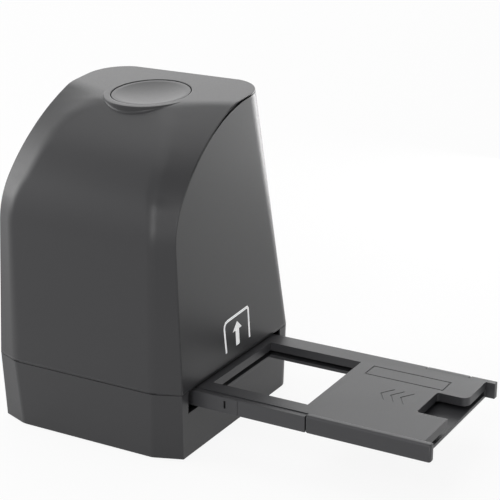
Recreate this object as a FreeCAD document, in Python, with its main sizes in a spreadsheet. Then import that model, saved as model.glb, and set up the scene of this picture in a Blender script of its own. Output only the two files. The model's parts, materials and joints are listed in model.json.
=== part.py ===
"""A desktop film and slide scanner with its film tray pulled out to one side.

Frame: +X is the way the tray comes out, -Y is the curved front, +Z is up.  The origin is on the plane
that the rubber feet stand on, below the middle of the light path.  All lengths are in millimetres.
"""
import FreeCAD, Part
import math
import os
import re
import Sketcher
from FreeCAD import Placement, Rotation, Vector

# Driving dimensions: alias, value, what it measures.

SIZES = [
    ("overrun", 1.0, "how far a cut runs past the face it starts from"),
    ("wall", 2.0, "wall of the housing shells"),
    ("foot_proud", 0.6, "how far a rubber foot stands out of the underside"),
    ("base_height", 27.9, "underside to the split line"),
    ("half_width", 44.0, "half the width at the split line"),
    ("width_inset", 0.55, "how much narrower each side is at the underside"),
    ("side_lean", 2.5, "lean of the sides above the split, degrees"),
    ("seam_front", 42.2, "centre to the side seam at the split line"),
    ("facet_depth", 4.5, "depth of the front corner facet"),
    ("facet_width", 10.7, "width of the front corner facet at the split line"),
    ("facet_growth", 1.2, "how much wider the facet is at the underside"),
    ("front_inset", 1.4, "how far the front draws in at the underside"),
    ("front_rise", 57.9, "height of the straight part of the front above the split"),
    ("front_lean", 0.9, "lean of the straight part of the front, degrees"),
    ("shoulder_radius", 29.7, "radius of the seam's lower bend"),
    ("shoulder_turn", 37.3, "turn of the seam's lower bend, degrees"),
    ("crown_radius", 78.7, "radius of the seam's upper bend"),
    ("facet_spread", 30.0, "how much wider the facet gets towards the top"),
    ("facet_lift", 3.2, "rise of the facet's outer edge above the seam at the flat top"),
    ("top_tilt", 5.0, "slope of the flat top, down to the front, degrees"),
    ("seam_drop", 0.8, "how far the side seam runs below the flat top"),
    ("groove_width", 0.24, "width of the shadow groove along the seams"),
    ("groove_depth", 0.5, "depth of that groove"),
    ("back_reach", 48.9, "centre to the back at the split line"),
    ("back_inset", 0.9, "how far the back draws in at the underside"),
    ("back_lean", 7.1, "forward lean of the back above the split, degrees"),
    ("corner_radius", 8.0, "back corner radius at the split line"),
    ("corner_growth", 8.0, "how much larger that radius is at the top"),
    ("crown_height", 107.5, "split line to the top of the back"),
    ("slot_margin", 4.1, "side slot beyond each edge of the tray"),
    ("slot_drop", 9.3, "split line to the floor of the side slot"),
    ("button_place", 7.7, "centre to the button, towards the back"),
    ("button_radius", 16.25, "radius of the round button"),
    ("button_gap", 0.25, "gap around the button"),
    ("button_rim", 2.8, "wall of the collar around the button"),
    ("collar_depth", 7.0, "depth of the collar below the flat top"),
    ("button_sink", 0.15, "button's edge below the flat top"),
    ("dish_depth", 1.3, "depth of the finger dish in the button"),
    ("button_skin", 1.8, "thickness of the button below its dish"),
    ("flange_width", 1.6, "stop flange beyond the button's side"),
    ("flange_height", 1.4, "height of the stop flange"),
    ("stop_gap", 0.2, "collar to the stop flange at rest"),
    ("button_travel", 0.5, "stroke of the button and of the switch plunger"),
    ("stem_radius", 2.4, "radius of the stem under the button"),
    ("switch_depth", 11.0, "flat top down to the switch plunger"),
    ("plunger_radius", 1.7, "radius of the switch plunger"),
    ("plunger_rise", 1.2, "height of the plunger above the switch"),
    ("switch_size", 6.2, "side of the push switch"),
    ("switch_height", 3.4, "height of the push switch"),
    ("spring_radius", 6.0, "mean radius of the button spring"),
    ("spring_wire", 0.7, "wire of the button spring"),
    ("spring_turns", 5.0, "turns of the button spring"),
    ("board_thick", 1.6, "thickness of the circuit boards"),
    ("post_radius", 2.6, "radius of a screw post"),
    ("thread_radius", 1.1, "radius of a small screw"),
    ("thread_gap", 0.03, "gap between a small screw and its hole"),
    ("head_radius", 2.1, "radius of a small screw head"),
    ("head_height", 1.3, "height of a small screw head"),
    ("thread_length", 4.2, "length of a small screw below its head"),
    ("button_board_half", 26.0, "half the length of the button board"),
    ("button_board_width", 14.0, "width of the button board"),
    ("button_post_place", 22.5, "centre to each post of the button board"),
    ("tray_drop", 0.55, "split line to the top of the tray"),
    ("tray_height", 6.9, "height of the tray"),
    ("tray_half", 33.3, "half the width of the tray"),
    ("tray_wall", 2.7, "side wall of the tray"),
    ("tray_floor", 1.4, "floor of the tray"),
    ("slide_channel", 2.0, "height of the slide channel in the tray"),
    ("cover_joint", 0.15, "gap around the tray's cover"),
    ("cover_ledge", 1.2, "ledge of the side walls that the cover rests on"),
    ("cover_plate", 1.6, "thickness of the tray's cover plate"),
    ("cover_skirt", 1.5, "thickness of the skirt around the cover's openings"),
    ("cover_proud", 0.35, "cover above the tray's side walls"),
    ("window_place", 68.2, "light path to the middle of the tray's window"),
    ("window_length", 42.1, "window along the tray"),
    ("window_half", 23.6, "half the window across the tray"),
    ("tray_reach", 76.4, "window middle to the ends of the tray's side walls"),
    ("end_recess", 3.7, "side walls beyond the floor and the cover"),
    ("bar_length", 51.4, "length of the near clip bar"),
    ("bar_gap", 0.25, "gap at the ends of a clip bar"),
    ("bar_proud", 0.3, "near clip bar beyond the tray's side and top"),
    ("bar_round", 1.1, "rounding of a clip bar"),
    ("far_clip_length", 18.5, "length of the far clip"),
    ("far_clip_place", 11.2, "far clip to the end of the far wall"),
    ("notch_length", 12.7, "finger notch along the tray"),
    ("notch_near", 9.0, "middle to the near side of the finger notch"),
    ("notch_far", 11.2, "middle to the far side of the finger notch"),
    ("detent_width", 0.9, "width of the detent slit in the near wall"),
    ("detent_place", 10.4, "window middle to the detent slit"),
    ("detent_height", 3.2, "height of the detent slit"),
    ("step_place", 4.5, "window middle to the step in the near wall"),
    ("step_depth", 0.25, "depth of the fine steps and engraved lines"),
    ("line_width", 0.5, "width of an engraved line"),
    ("panel_length", 34.0, "engraved panel along the tray"),
    ("panel_width", 9.0, "engraved panel across the tray"),
    ("panel_offset", 18.3, "middle of the tray to the middle of the panel"),
    ("panel_start", 6.2, "window edge to the engraved panel"),
    ("arrow_place", 46.6, "window middle to the middle arrow"),
    ("arrow_pitch", 4.2, "spacing of the engraved arrows"),
    ("arrow_length", 3.4, "length of an engraved arrow"),
    ("arrow_width", 11.0, "width of an engraved arrow"),
    ("run_gap", 0.35, "running gap around the tray in its guide"),
    ("guide_wall", 2.4, "side wall of the tray guide"),
    ("guide_plate", 1.8, "floor and roof of the tray guide"),
    ("guide_half", 39.0, "half the length of the tray guide"),
    ("gate_half", 24.0, "half the light opening of the guide"),
    ("leg_radius", 3.2, "radius of a leg of the guide"),
    ("leg_inset", 4.4, "guide's corner to a leg's axis"),
    ("detent_thick", 0.3, "thickness of the detent leaf"),
    ("nub_width", 0.8, "width of the leaf's nub"),
    ("nub_height", 2.8, "height of the leaf's nub"),
    ("detent_length", 16.0, "length of the detent leaf"),
    ("led_board_rise", 2.6, "base floor to the backlight board"),
    ("led_size", 3.5, "side of a backlight lamp"),
    ("led_height", 1.4, "height of a backlight lamp"),
    ("led_pitch", 14.0, "spacing of the backlight lamps"),
    ("light_box_half", 26.5, "half the outer side of the light box"),
    ("led_end_margin", 4.5, "backlight board beyond the light box along X"),
    ("led_edge_margin", 3.5, "backlight board beyond the light box along Y"),
    ("light_box_wall", 1.6, "wall of the light box"),
    ("diffuser_thick", 2.0, "thickness of the diffuser plate"),
    ("tunnel_foot", 25.0, "half the foot of the optics tunnel"),
    ("tunnel_neck", 12.0, "half the top of the optics tunnel"),
    ("tunnel_height", 54.0, "height of the optics tunnel"),
    ("tunnel_wall", 1.6, "wall of the optics tunnel"),
    ("tunnel_flange", 4.6, "flange around the tunnel's foot"),
    ("flange_thick", 1.8, "thickness of the tunnel's flanges"),
    ("tunnel_top_half", 16.0, "half the length of the tunnel's top flange"),
    ("barrel_radius", 6.4, "radius of the lens barrel"),
    ("barrel_length", 13.0, "length of the lens barrel"),
    ("barrel_dip", 6.0, "barrel below the tunnel's top flange"),
    ("bore_radius", 4.2, "bore of the lens barrel"),
    ("optic_gap", 0.05, "gap around the lens parts"),
    ("lens_thick", 2.4, "thickness of a lens element"),
    ("lens_curve", 11.0, "radius of a lens element's faces"),
    ("holder_radius", 9.4, "outer radius of the lens holder"),
    ("holder_height", 12.0, "height of the lens holder"),
    ("ledge_thick", 0.8, "ledge under the infrared filter"),
    ("ledge_radius", 3.8, "opening in that ledge"),
    ("sensor_room", 3.2, "ledge to the sensor board"),
    ("filter_thick", 0.6, "thickness of the infrared filter"),
    ("sensor_size", 8.0, "side of the image sensor"),
    ("sensor_thick", 1.2, "thickness of the image sensor"),
    ("sensor_board_half", 17.0, "half the side of the sensor board"),
    ("ear_place", 13.0, "lens axis to a screw ear of the holder"),
    ("board_setback", 17.9, "back of the housing at the split line to the main board's front face"),
    ("main_board_half", 32.0, "half the width of the main board"),
    ("main_board_height", 60.0, "height of the main board"),
    ("main_board_rise", 8.0, "split line to the main board"),
    ("board_inset", 5.0, "board's edge to its screws"),
    ("chip_size", 14.0, "side of the processor"),
    ("chip_height", 1.4, "height of the chips"),
    ("chip_pitch", 22.0, "spacing of the chips"),
    ("usb_width", 12.0, "width of the data socket"),
    ("usb_height", 11.0, "height of the data socket"),
    ("usb_wall", 0.9, "wall of the data socket"),
    ("usb_rise", 9.0, "main board's lower edge to the data socket's middle"),
    ("usb_gap", 0.3, "gap around the data socket"),
    ("usb_setback", 0.5, "data socket's mouth behind the back"),
    ("tongue_width", 5.6, "width of the socket's contact tongue"),
    ("tongue_height", 3.0, "height of the socket's contact tongue"),
    ("ribbon_thick", 0.5, "thickness of a flat cable"),
    ("ribbon_width", 8.0, "width of a flat cable"),
    ("foot_radius", 4.6, "radius of a rubber foot"),
    ("foot_pocket", 1.2, "depth of a foot's pocket"),
    ("foot_spread", 30.5, "centre to the feet, sideways"),
    ("foot_front", 39.0, "centre to the front feet"),
    ("foot_back", 40.0, "centre to the back feet"),
    ("screw_radius", 1.4, "radius of a housing screw"),
    ("screw_length", 18.0, "length of a housing screw below its head"),
    ("screw_head", 2.5, "radius of a housing screw's head"),
    ("screw_head_height", 1.8, "height of a housing screw's head"),
    ("screw_spread", 22.0, "centre to the housing screws, sideways"),
    ("screw_post", 3.7, "radius of a housing screw's post"),
    ("screw_bore_gap", 0.3, "gap around a housing screw's head"),
    ("boss_height", 10.0, "height of a cover's screw boss"),
    ("post_sink", 0.4, "how far a post beside a wall sinks into it"),
]
VALUE = {alias: value for alias, value, _ in SIZES}


def make_sheet(doc):
    """Write every driving dimension to the spreadsheet, one row each."""
    sheet = doc.addObject("Spreadsheet::Sheet", "Sizes")
    for row, (alias, value, remark) in enumerate(SIZES, start=1):
        sheet.set(f"A{row}", alias)
        sheet.set(f"B{row}", str(value))
        sheet.set(f"C{row}", remark)
        sheet.setAlias(f"B{row}", alias)
    doc.recompute()
    return sheet


doc = FreeCAD.newDocument("film_scanner")
sheet = make_sheet(doc)


def size(alias):
    """Read one driving dimension from the sheet."""
    return float(sheet.get(alias))


def spell(expression):
    """Turn bare aliases in an expression into references to the sheet."""
    return re.sub(r"[a-z_]+", lambda word: f"Sizes.{word[0]}" if word[0] in VALUE else word[0], expression)


# Levels that many sub-parts share, as expressions of the sheet's sizes.

FLOOR = "(foot_proud + wall)"
SPLIT = "(foot_proud + base_height)"
TRAY_TOP = "(foot_proud + base_height - tray_drop)"
TRAY_LOW = "(foot_proud + base_height - tray_drop - tray_height)"
GUIDE_FLOOR = "(foot_proud + base_height - tray_drop - tray_height - run_gap)"
GUIDE_LOW = "(foot_proud + base_height - tray_drop - tray_height - run_gap - guide_plate)"
GUIDE_ROOF = "(foot_proud + base_height - tray_drop + run_gap)"
GUIDE_TOP = "(foot_proud + base_height - tray_drop + run_gap + guide_plate)"
HOLDER_LOW = "(foot_proud + base_height - tray_drop + run_gap + guide_plate + tunnel_height + flange_thick)"
SENSOR_BOARD = f"({HOLDER_LOW} + holder_height)"
LED_BOARD = "(foot_proud + wall + led_board_rise)"
BOARD_LOW = "(foot_proud + base_height + main_board_rise)"
BOARD_FACE = "(back_reach - board_setback)"
GUIDE_SIDE = "(tray_half + run_gap)"
GUIDE_OUT = "(tray_half + run_gap + guide_wall)"
COVER_LOW = "(foot_proud + base_height - tray_drop - tray_height + tray_floor + slide_channel)"
TRAY_RIGHT = "(window_place + tray_reach)"
TRAY_LEFT = "(window_place - tray_reach)"
PLATE_RIGHT = "(window_place + tray_reach - end_recess)"
PLATE_LEFT = "(window_place - tray_reach + end_recess)"


def bind(item, **expressions):
    """Bind properties of an object to expressions of the sheet's sizes."""
    for prop, expression in expressions.items():
        item.setExpression(prop.replace("__", "."), spell(expression))
    return item


def place(item, x="0", y="0", z="0"):
    """Bind where an object stands."""
    return bind(item, Placement__Base__x=x, Placement__Base__y=y, Placement__Base__z=z)


def block(name, left, right, front, back, low, high):
    """A box between six bound faces."""
    item = doc.addObject("Part::Box", name)
    bind(item, Length=f"({right}) - ({left})", Width=f"({back}) - ({front})", Height=f"({high}) - ({low})")
    return place(item, left, front, low)


def rod(name, radius, x, y, low, high):
    """An upright cylinder between two bound levels."""
    item = doc.addObject("Part::Cylinder", name)
    bind(item, Radius=radius, Height=f"({high}) - ({low})")
    return place(item, x, y, low)


def join(name, items):
    """One solid of several that overlap or touch."""
    fused = doc.addObject("Part::MultiFuse", name)
    fused.Shapes = items
    return fused


def group(name, items):
    """Separate solids of one kind that share a name."""
    bundle = doc.addObject("Part::Compound", name)
    bundle.Links = items
    return bundle


NODES = []


def node(item, label):
    """Name a finished sub-part."""
    item.Label = label
    NODES.append(item)
    return item


# Sketches and the features that grow from them.


def new_body(label):
    """A sub-part of its own, built feature by feature."""
    body = doc.addObject("PartDesign::Body", label + "_body")
    return node(body, label)


def new_sketch(body, name, level="0", plane="XY_Plane"):
    """A sketch on one of the body's own origin planes, lifted to a bound level."""
    sketch = body.newObject("Sketcher::SketchObject", name)
    support = [plane_item for plane_item in body.Origin.OriginFeatures if plane_item.Role == plane][0]
    sketch.AttachmentSupport = [(support, "")]
    sketch.MapMode = "FlatFace"
    sketch.setExpression("AttachmentOffset.Base.z", spell(level))
    return sketch


def pin_point(sketch, geometry, vertex, x, y):
    """Tie a sketch point to the origin by two bound distances."""
    for kind, expression in (("DistanceX", x), ("DistanceY", y)):
        number = sketch.addConstraint(Sketcher.Constraint(kind, -1, 1, geometry, vertex, 1.0))
        sketch.setExpression(f"Constraints[{number}]", spell(expression))


def draw_outline(sketch, points):
    """A closed outline of straight lines through bound points."""
    first = sketch.GeometryCount
    count = len(points)
    for number in range(count):
        angle = 2 * math.pi * number / count
        turn = 2 * math.pi * (number + 1) / count
        start = Vector(math.cos(angle), math.sin(angle), 0)
        end = Vector(math.cos(turn), math.sin(turn), 0)
        sketch.addGeometry(Part.LineSegment(start, end), False)
    for number in range(count):
        following = first + (number + 1) % count
        sketch.addConstraint(Sketcher.Constraint("Coincident", first + number, 2, following, 1))
    for number, (x, y) in enumerate(points):
        pin_point(sketch, first + number, 1, x, y)


def draw_rectangle(sketch, left, right, low, high):
    """A rectangle between four bound sides."""
    draw_outline(sketch, [(left, low), (right, low), (right, high), (left, high)])


def draw_circle(sketch, x, y, radius):
    """A circle of a bound radius at a bound place."""
    number = sketch.addGeometry(Part.Circle(Vector(0, 0, 0), Vector(0, 0, 1), 1.0), False)
    pin_point(sketch, number, 3, x, y)
    constraint = sketch.addConstraint(Sketcher.Constraint("Radius", number, 1.0))
    sketch.setExpression(f"Constraints[{constraint}]", spell(radius))


def pad(body, sketch, height):
    """Grow a sketch upwards."""
    feature = body.newObject("PartDesign::Pad", sketch.Name + "_pad")
    feature.Profile = sketch
    bind(feature, Length=height)
    return feature


def pocket(body, sketch, depth):
    """Cut a sketch downwards."""
    feature = body.newObject("PartDesign::Pocket", sketch.Name + "_cut")
    feature.Profile = sketch
    bind(feature, Length=depth)
    return feature


# The outer form of the housing.


def seam_points():
    """The side seam's start and end of its straight rise, and the headings at the ends of its two bends.

    The seam lies in a YZ plane.  Its straight rise is followed by the shoulder bend and the crown bend,
    which ends parallel to the flat top.  Headings are in radians.
    """
    lean = math.radians(90 - size("front_lean"))
    low = Vector(0, -size("seam_front"), size("foot_proud") + size("base_height"))
    rise = size("front_rise") / math.sin(lean)
    start = low + Vector(0, math.cos(lean), math.sin(lean)) * rise
    middle_turn = lean - math.radians(size("shoulder_turn"))
    end_turn = math.radians(size("top_tilt"))
    return low, start, lean, middle_turn, end_turn


def bend(start, radius, heading, turned):
    """A point on a bend in the YZ plane that starts at a heading, once it has turned to another."""
    centre = start + Vector(0, math.sin(heading), -math.cos(heading)) * radius
    return centre + Vector(0, -math.sin(turned), math.cos(turned)) * radius


def seam_at(share):
    """Point and heading on the seam at a station: 0 split line, 1 shoulder, 2 crown, 3 end."""
    low, start, lean, middle_turn, end_turn = seam_points()
    if share <= 1:
        return low + (start - low) * share, lean
    if share <= 2:
        turned = lean + (middle_turn - lean) * (share - 1)
        return bend(start, size("shoulder_radius"), lean, turned), turned
    shoulder = bend(start, size("shoulder_radius"), lean, middle_turn)
    turned = middle_turn + (end_turn - middle_turn) * (share - 2)
    return bend(shoulder, size("crown_radius"), middle_turn, turned), turned


def outward(heading):
    """Unit vector square to a heading in the YZ plane, pointing out of the housing."""
    return Vector(0, -math.sin(heading), math.cos(heading))


def top_centre(depth=0.0):
    """The middle of the button's place on the flat top, or a depth below it."""
    end, heading = seam_at(3)
    above = end + outward(heading) * size("seam_drop")
    along = (size("button_place") - above.y) / math.cos(heading)
    centre = above + Vector(0, math.cos(heading), math.sin(heading)) * along
    return centre - outward(heading) * depth


def side_profile(offset):
    """The seam moved outwards by an offset, closed far behind the back, as a face in the YZ plane."""
    stations = {share: seam_at(share) for share in (0, 1, 1.5, 2, 2.5, 3)}
    moved = {share: point + outward(heading) * offset for share, (point, heading) in stations.items()}
    run = size("base_height")
    foot = moved[0] + (moved[0] - moved[1]).normalize() * run
    tilt = Vector(0, math.cos(stations[3][1]), math.sin(stations[3][1]))
    far = moved[3] + tilt * size("back_reach") * 2
    edges = [
        Part.LineSegment(foot, moved[1]).toShape(),
        Part.Arc(moved[1], moved[1.5], moved[2]).toShape(),
        Part.Arc(moved[2], moved[2.5], moved[3]).toShape(),
        Part.LineSegment(moved[3], far).toShape(),
        Part.LineSegment(far, Vector(0, far.y, foot.z)).toShape(),
        Part.LineSegment(Vector(0, far.y, foot.z), foot).toShape(),
    ]
    return Part.Face(Part.Wire(edges))


def behind_seam(offset):
    """Everything below and behind the side seam moved outwards by an offset, as one block."""
    reach = size("half_width") * 4
    face = side_profile(offset)
    face.translate(Vector(-reach / 2, 0, 0))
    return face.extrude(Vector(reach, 0, 0))


def half_space(point, normal, reach):
    """A large block that fills the side of a plane that its normal points to."""
    slab = Part.makeBox(2 * reach, 2 * reach, reach, Vector(-reach, -reach, 0))
    slab.Placement = Placement(point, Rotation(Vector(0, 0, 1), normal))
    return slab


def side_at(level):
    """Half the housing's outer width at a level above the split line."""
    return size("half_width") - math.tan(math.radians(size("side_lean"))) * level


def back_at(level):
    """Where the housing's outer back is at a level above the split line."""
    return size("back_reach") - math.tan(math.radians(size("back_lean"))) * level


# Stations along the seam, and at each of them the share of the facet's spread that its inner edge has
# drawn towards the middle and the share of its lift that its outer edge has risen above the seam.
FACET_STATIONS = (-0.5, 0.0, 0.5, 1.0, 1.25, 1.5, 1.75, 2.0, 2.15, 2.3, 2.45, 2.6, 2.7, 2.8, 2.9, 3.0)
SPREAD_SHARES = (0.0, 0.0, 0.0, 0.0, 0.01, 0.03, 0.07, 0.13, 0.18, 0.25, 0.36, 0.56, 0.76, 0.92, 1.0, 1.0)
LIFT_SHARES = (0.0, 0.0, 0.0, 0.0, 0.0, 0.0, 0.0, 0.0, 0.02, 0.06, 0.13, 0.25, 0.38, 0.56, 0.78, 1.0)


def facet_cutter(inset, side):
    """What the front corner facet takes off the housing on one side: +1 right, -1 left.

    The facet is a ruled face between its outer edge, on the seam, and its inner edge, on the curved front.
    It is drawn past both edges, and everything to the side of it goes.
    """
    split = size("foot_proud") + size("base_height")
    beyond = size("wall") / size("facet_depth")
    low_points = []
    high_points = []
    for station, spread_share, lift_share in zip(FACET_STATIONS, SPREAD_SHARES, LIFT_SHARES):
        point, heading = seam_at(station)
        normal = outward(heading)
        outer_x = side_at(point.z - split) - inset
        inner_x = size("half_width") - size("facet_width") - size("facet_spread") * spread_share - inset
        lift = size("facet_lift") * lift_share - inset
        outer = point + normal * lift + Vector(outer_x * side, 0, 0)
        inner = point + normal * (size("facet_depth") - inset) + Vector(inner_x * side, 0, 0)
        along = outer - inner
        low_points.append(outer + along * beyond)
        high_points.append(inner - along * beyond)
    edges = []
    for points in (low_points, high_points):
        curve = Part.BSplineCurve()
        curve.interpolate(Points=points, Parameters=[float(station) for station in FACET_STATIONS])
        edges.append(curve.toShape())
    return Part.makeRuledSurface(*edges).extrude(Vector(side * size("half_width") * 2, 0, 0))


def wall_ring(level, inset):
    """The sides and the rounded back at a level above the split line, as a wire past the front."""
    side = side_at(level) - inset
    back = back_at(level) - inset
    radius = size("corner_radius") + size("corner_growth") * level / size("crown_height") - inset
    slant = radius * (1 - math.sqrt(0.5))
    height = size("foot_proud") + size("base_height") + level
    points = [
        Vector(side, -size("back_reach") * 2, height),
        Vector(side, back - radius, height),
        Vector(side - slant, back - slant, height),
        Vector(side - radius, back, height),
    ]
    mirrored = [Vector(-point.x, point.y, point.z) for point in points]
    edges = [
        Part.LineSegment(points[0], points[1]),
        Part.Arc(points[1], points[2], points[3]),
        Part.LineSegment(points[3], mirrored[3]),
        Part.Arc(mirrored[3], mirrored[2], mirrored[1]),
        Part.LineSegment(mirrored[1], mirrored[0]),
        Part.LineSegment(mirrored[0], points[0]),
    ]
    return Part.Wire([edge.toShape() for edge in edges])


def housing_form(inset=0.0, drop=0.0):
    """The upper housing as one closed form, its walls moved inwards by an inset, down to a drop below
    the split line."""
    rings = [wall_ring(-drop, inset), wall_ring(size("crown_height") + size("corner_radius"), inset)]
    form = Part.makeLoft(rings, True, True)
    form = form.common(behind_seam(size("facet_depth") - inset))
    tilt = math.radians(size("top_tilt"))
    form = form.cut(half_space(top_centre(inset), outward(tilt), size("half_width") * 4))
    for side in (1, -1):
        form = form.cut(facet_cutter(inset, side))
    return form


def base_outline(level_share, inset=0.0):
    """The base's outline as a wire: 0 at the underside, 1 at the split line."""
    fall = 1 - level_share
    side = size("half_width") - size("width_inset") * fall - inset
    seam = size("seam_front") - size("front_inset") * fall - inset
    depth = size("facet_depth")
    front = size("seam_front") + depth - size("front_inset") * fall - inset
    width = size("facet_width") + size("facet_growth") * fall
    back = size("back_reach") - size("back_inset") * fall - inset
    radius = size("corner_radius") - inset
    level = size("foot_proud") + size("base_height") * level_share
    slant = radius * (1 - math.sqrt(0.5))
    points = [
        Vector(side - width, -front, level),
        Vector(side, -seam, level),
        Vector(side, back - radius, level),
        Vector(side - slant, back - slant, level),
        Vector(side - radius, back, level),
    ]
    mirrored = [Vector(-point.x, point.y, point.z) for point in points]
    edges = [
        Part.LineSegment(points[0], points[1]),
        Part.LineSegment(points[1], points[2]),
        Part.Arc(points[2], points[3], points[4]),
        Part.LineSegment(points[4], mirrored[4]),
        Part.Arc(mirrored[4], mirrored[3], mirrored[2]),
        Part.LineSegment(mirrored[2], mirrored[1]),
        Part.LineSegment(mirrored[1], mirrored[0]),
        Part.LineSegment(mirrored[0], points[0]),
    ]
    return Part.Wire([edge.toShape() for edge in edges])


def feature(label, shape):
    """A finished sub-part whose shape is worked out from the sheet's sizes."""
    item = doc.addObject("Part::Feature", label + "_shape")
    item.Shape = shape
    return node(item, label)


def pillar(radius, x, y, low, high):
    """An upright cylinder as a shape."""
    return Part.makeCylinder(radius, high - low, Vector(x, y, low))


def mirrored_places(side, *rows):
    """The places left and right of the middle for each row along Y."""
    return [(x, y) for y in rows for x in (-side, side)]


def housing_screw_places():
    """Where the four housing screws stand."""
    inner = size("wall") + size("screw_post") - size("post_sink")
    front = size("seam_front") + size("facet_depth") - inner
    back = size("back_reach") - inner
    return mirrored_places(size("screw_spread"), -front, back)


def guide_leg_places():
    """Where the four legs of the tray guide stand."""
    x = size("guide_half") - size("leg_inset")
    y = size("tray_half") + size("run_gap") + size("guide_wall") - size("leg_inset")
    return mirrored_places(x, -y, y)


def base_shell():
    """The base: a tray-like shell with a slot for the film tray at each side."""
    wall = size("wall")
    over = size("overrun")
    low = size("foot_proud")
    floor = low + wall
    split = low + size("base_height")
    body = Part.makeLoft([base_outline(0), base_outline(1)], True, True)
    hollow = Part.makeLoft([base_outline(0, wall), base_outline(1, wall)], True, True)
    above_floor = half_space(Vector(0, 0, floor), Vector(0, 0, 1), size("half_width") * 4)
    lid = Part.Face(base_outline(1, wall)).extrude(Vector(0, 0, over))
    shell = body.cut(hollow.common(above_floor)).cut(lid)
    slot_half = size("tray_half") + size("slot_margin")
    run = size("half_width") + over
    corner = Vector(-run, -slot_half, split - size("slot_drop"))
    shell = shell.cut(Part.makeBox(2 * run, 2 * slot_half, size("slot_drop") + over, corner))
    for x, y in housing_screw_places():
        shell = shell.fuse(pillar(size("screw_post"), x, y, floor - wall / 2, split))
    for x, y in mirrored_places(led_post_column(), *led_post_rows()):
        post_top = floor + size("led_board_rise")
        shell = shell.fuse(pillar(size("post_radius"), x, y, floor - wall / 2, post_top))
    for x, y in housing_screw_places():
        head_bore = size("screw_head") + size("screw_bore_gap")
        shell = shell.cut(pillar(head_bore, x, y, low - over, screw_seat()))
        shell = shell.cut(pillar(size("screw_radius") + size("thread_gap"), x, y, low, split + over))
    for x, y in guide_leg_places():
        shell = shell.cut(pillar(size("thread_radius") + size("thread_gap"), x, y, low - over, floor + over))
        counter = size("head_radius") + size("screw_bore_gap")
        shell = shell.cut(pillar(counter, x, y, low - over, low + size("head_height")))
    for x, y in foot_places():
        shell = shell.cut(pillar(size("foot_radius"), x, y, low - over, low + size("foot_pocket")))
    return feature("base_shell", shell.removeSplitter())


def led_post_column():
    """How far the posts under the backlight board are from the middle along X."""
    return size("light_box_half") + size("led_end_margin") - size("board_inset")


def led_post_rows():
    """The two rows along Y of the posts under the backlight board."""
    y = size("light_box_half") + size("led_edge_margin") - size("board_inset")
    return -y, y


def foot_places():
    """Where the four rubber feet stand."""
    return mirrored_places(size("foot_spread"), -size("foot_front"), size("foot_back"))


def screw_seat():
    """The level of the housing screws' heads."""
    split = size("foot_proud") + size("base_height")
    return split + size("boss_height") - size("screw_length")


def shadow_grooves():
    """The shallow grooves along the side seams and along the split line."""
    width = size("groove_width")
    split = size("foot_proud") + size("base_height")
    reach = size("half_width") * 2
    seam = behind_seam(width / 2).cut(behind_seam(-width / 2))
    line = Part.makeBox(2 * reach, 2 * reach, width, Vector(-reach, -reach, split))
    return seam.fuse(line).cut(housing_form(size("groove_depth"), size("overrun")))


def lid_plug(inner):
    """The room above the inner side of the flat top, which belongs to the front cover alone."""
    upward = outward(math.radians(size("top_tilt")))
    level = top_centre(size("wall"))
    near = [face for face in inner.Faces if abs((face.CenterOfMass - level).dot(upward)) < size("optic_gap")]
    flat = max(near, key=lambda face: face.Area)
    return flat.extrude(upward * size("wall") * 2)


def covers():
    """The curved front cover and the U-shaped rear cover."""
    wall = size("wall")
    split = size("foot_proud") + size("base_height")
    outer = housing_form()
    inner = housing_form(wall, size("overrun"))
    rear_space = behind_seam(0.0).cut(lid_plug(inner))
    shell = outer.cut(inner)
    grooves = shadow_grooves()
    front = shell.cut(rear_space).cut(grooves)
    rear = shell.common(rear_space).cut(grooves)
    on_top = Placement(top_centre(), Rotation(Vector(1, 0, 0), size("top_tilt"))).toMatrix()
    bore_radius = size("thread_radius") + size("thread_gap")
    bore_depth = size("thread_length") - size("board_thick") + size("screw_bore_gap")

    collar_radius = size("button_radius") + size("button_gap") + size("button_rim")
    collar = Part.makeCylinder(collar_radius, size("collar_depth"), Vector(0, 0, -size("collar_depth")))
    front = front.fuse(collar.transformed(on_top))
    board_level = switch_board_depth()
    for side in (-1, 1):
        low = Vector(side * size("button_post_place"), 0, -board_level)
        column = Part.makeCylinder(size("post_radius"), board_level - wall / 2, low)
        bore = Part.makeCylinder(bore_radius, bore_depth, low)
        front = front.fuse(column.transformed(on_top)).cut(bore.transformed(on_top))
    hole_radius = size("button_radius") + size("button_gap")
    hole_depth = size("collar_depth") + size("overrun")
    hole = Part.makeCylinder(hole_radius, hole_depth + size("overrun"), Vector(0, 0, -hole_depth))
    front = front.cut(hole.transformed(on_top))

    screw_bore = size("screw_radius") + size("thread_gap")
    top = split + size("boss_height")
    for x, y in housing_screw_places():
        boss = pillar(size("screw_post"), x, y, split, top)
        bore = pillar(screw_bore, x, y, split - size("overrun"), top + size("overrun"))
        if y < 0:
            front = front.fuse(boss).cut(bore)
        else:
            rear = rear.fuse(boss).cut(bore)

    board_back = board_face() + size("board_thick")
    backward = Vector(0, 1, 0)
    for x, z in main_board_screw_places():
        start = Vector(x, board_back, z)
        reach = back_at(z - split) - wall / 2 - board_back
        boss = Part.makeCylinder(size("post_radius"), reach, start, backward)
        bore = Part.makeCylinder(bore_radius, bore_depth, start, backward)
        rear = rear.fuse(boss).cut(bore)
    width = size("usb_width") + 2 * size("usb_gap")
    height = size("usb_height") + 2 * size("usb_gap")
    corner = Vector(-width / 2, board_back, usb_level() - height / 2)
    rear = rear.cut(Part.makeBox(width, size("back_reach"), height, corner))
    feature("front_cover", front.removeSplitter())
    feature("rear_cover", rear.removeSplitter())


def board_face():
    """Where the main board's front face is along Y."""
    return size("back_reach") - size("board_setback")


def usb_level():
    """The level of the data socket's middle."""
    return size("foot_proud") + size("base_height") + size("main_board_rise") + size("usb_rise")


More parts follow.
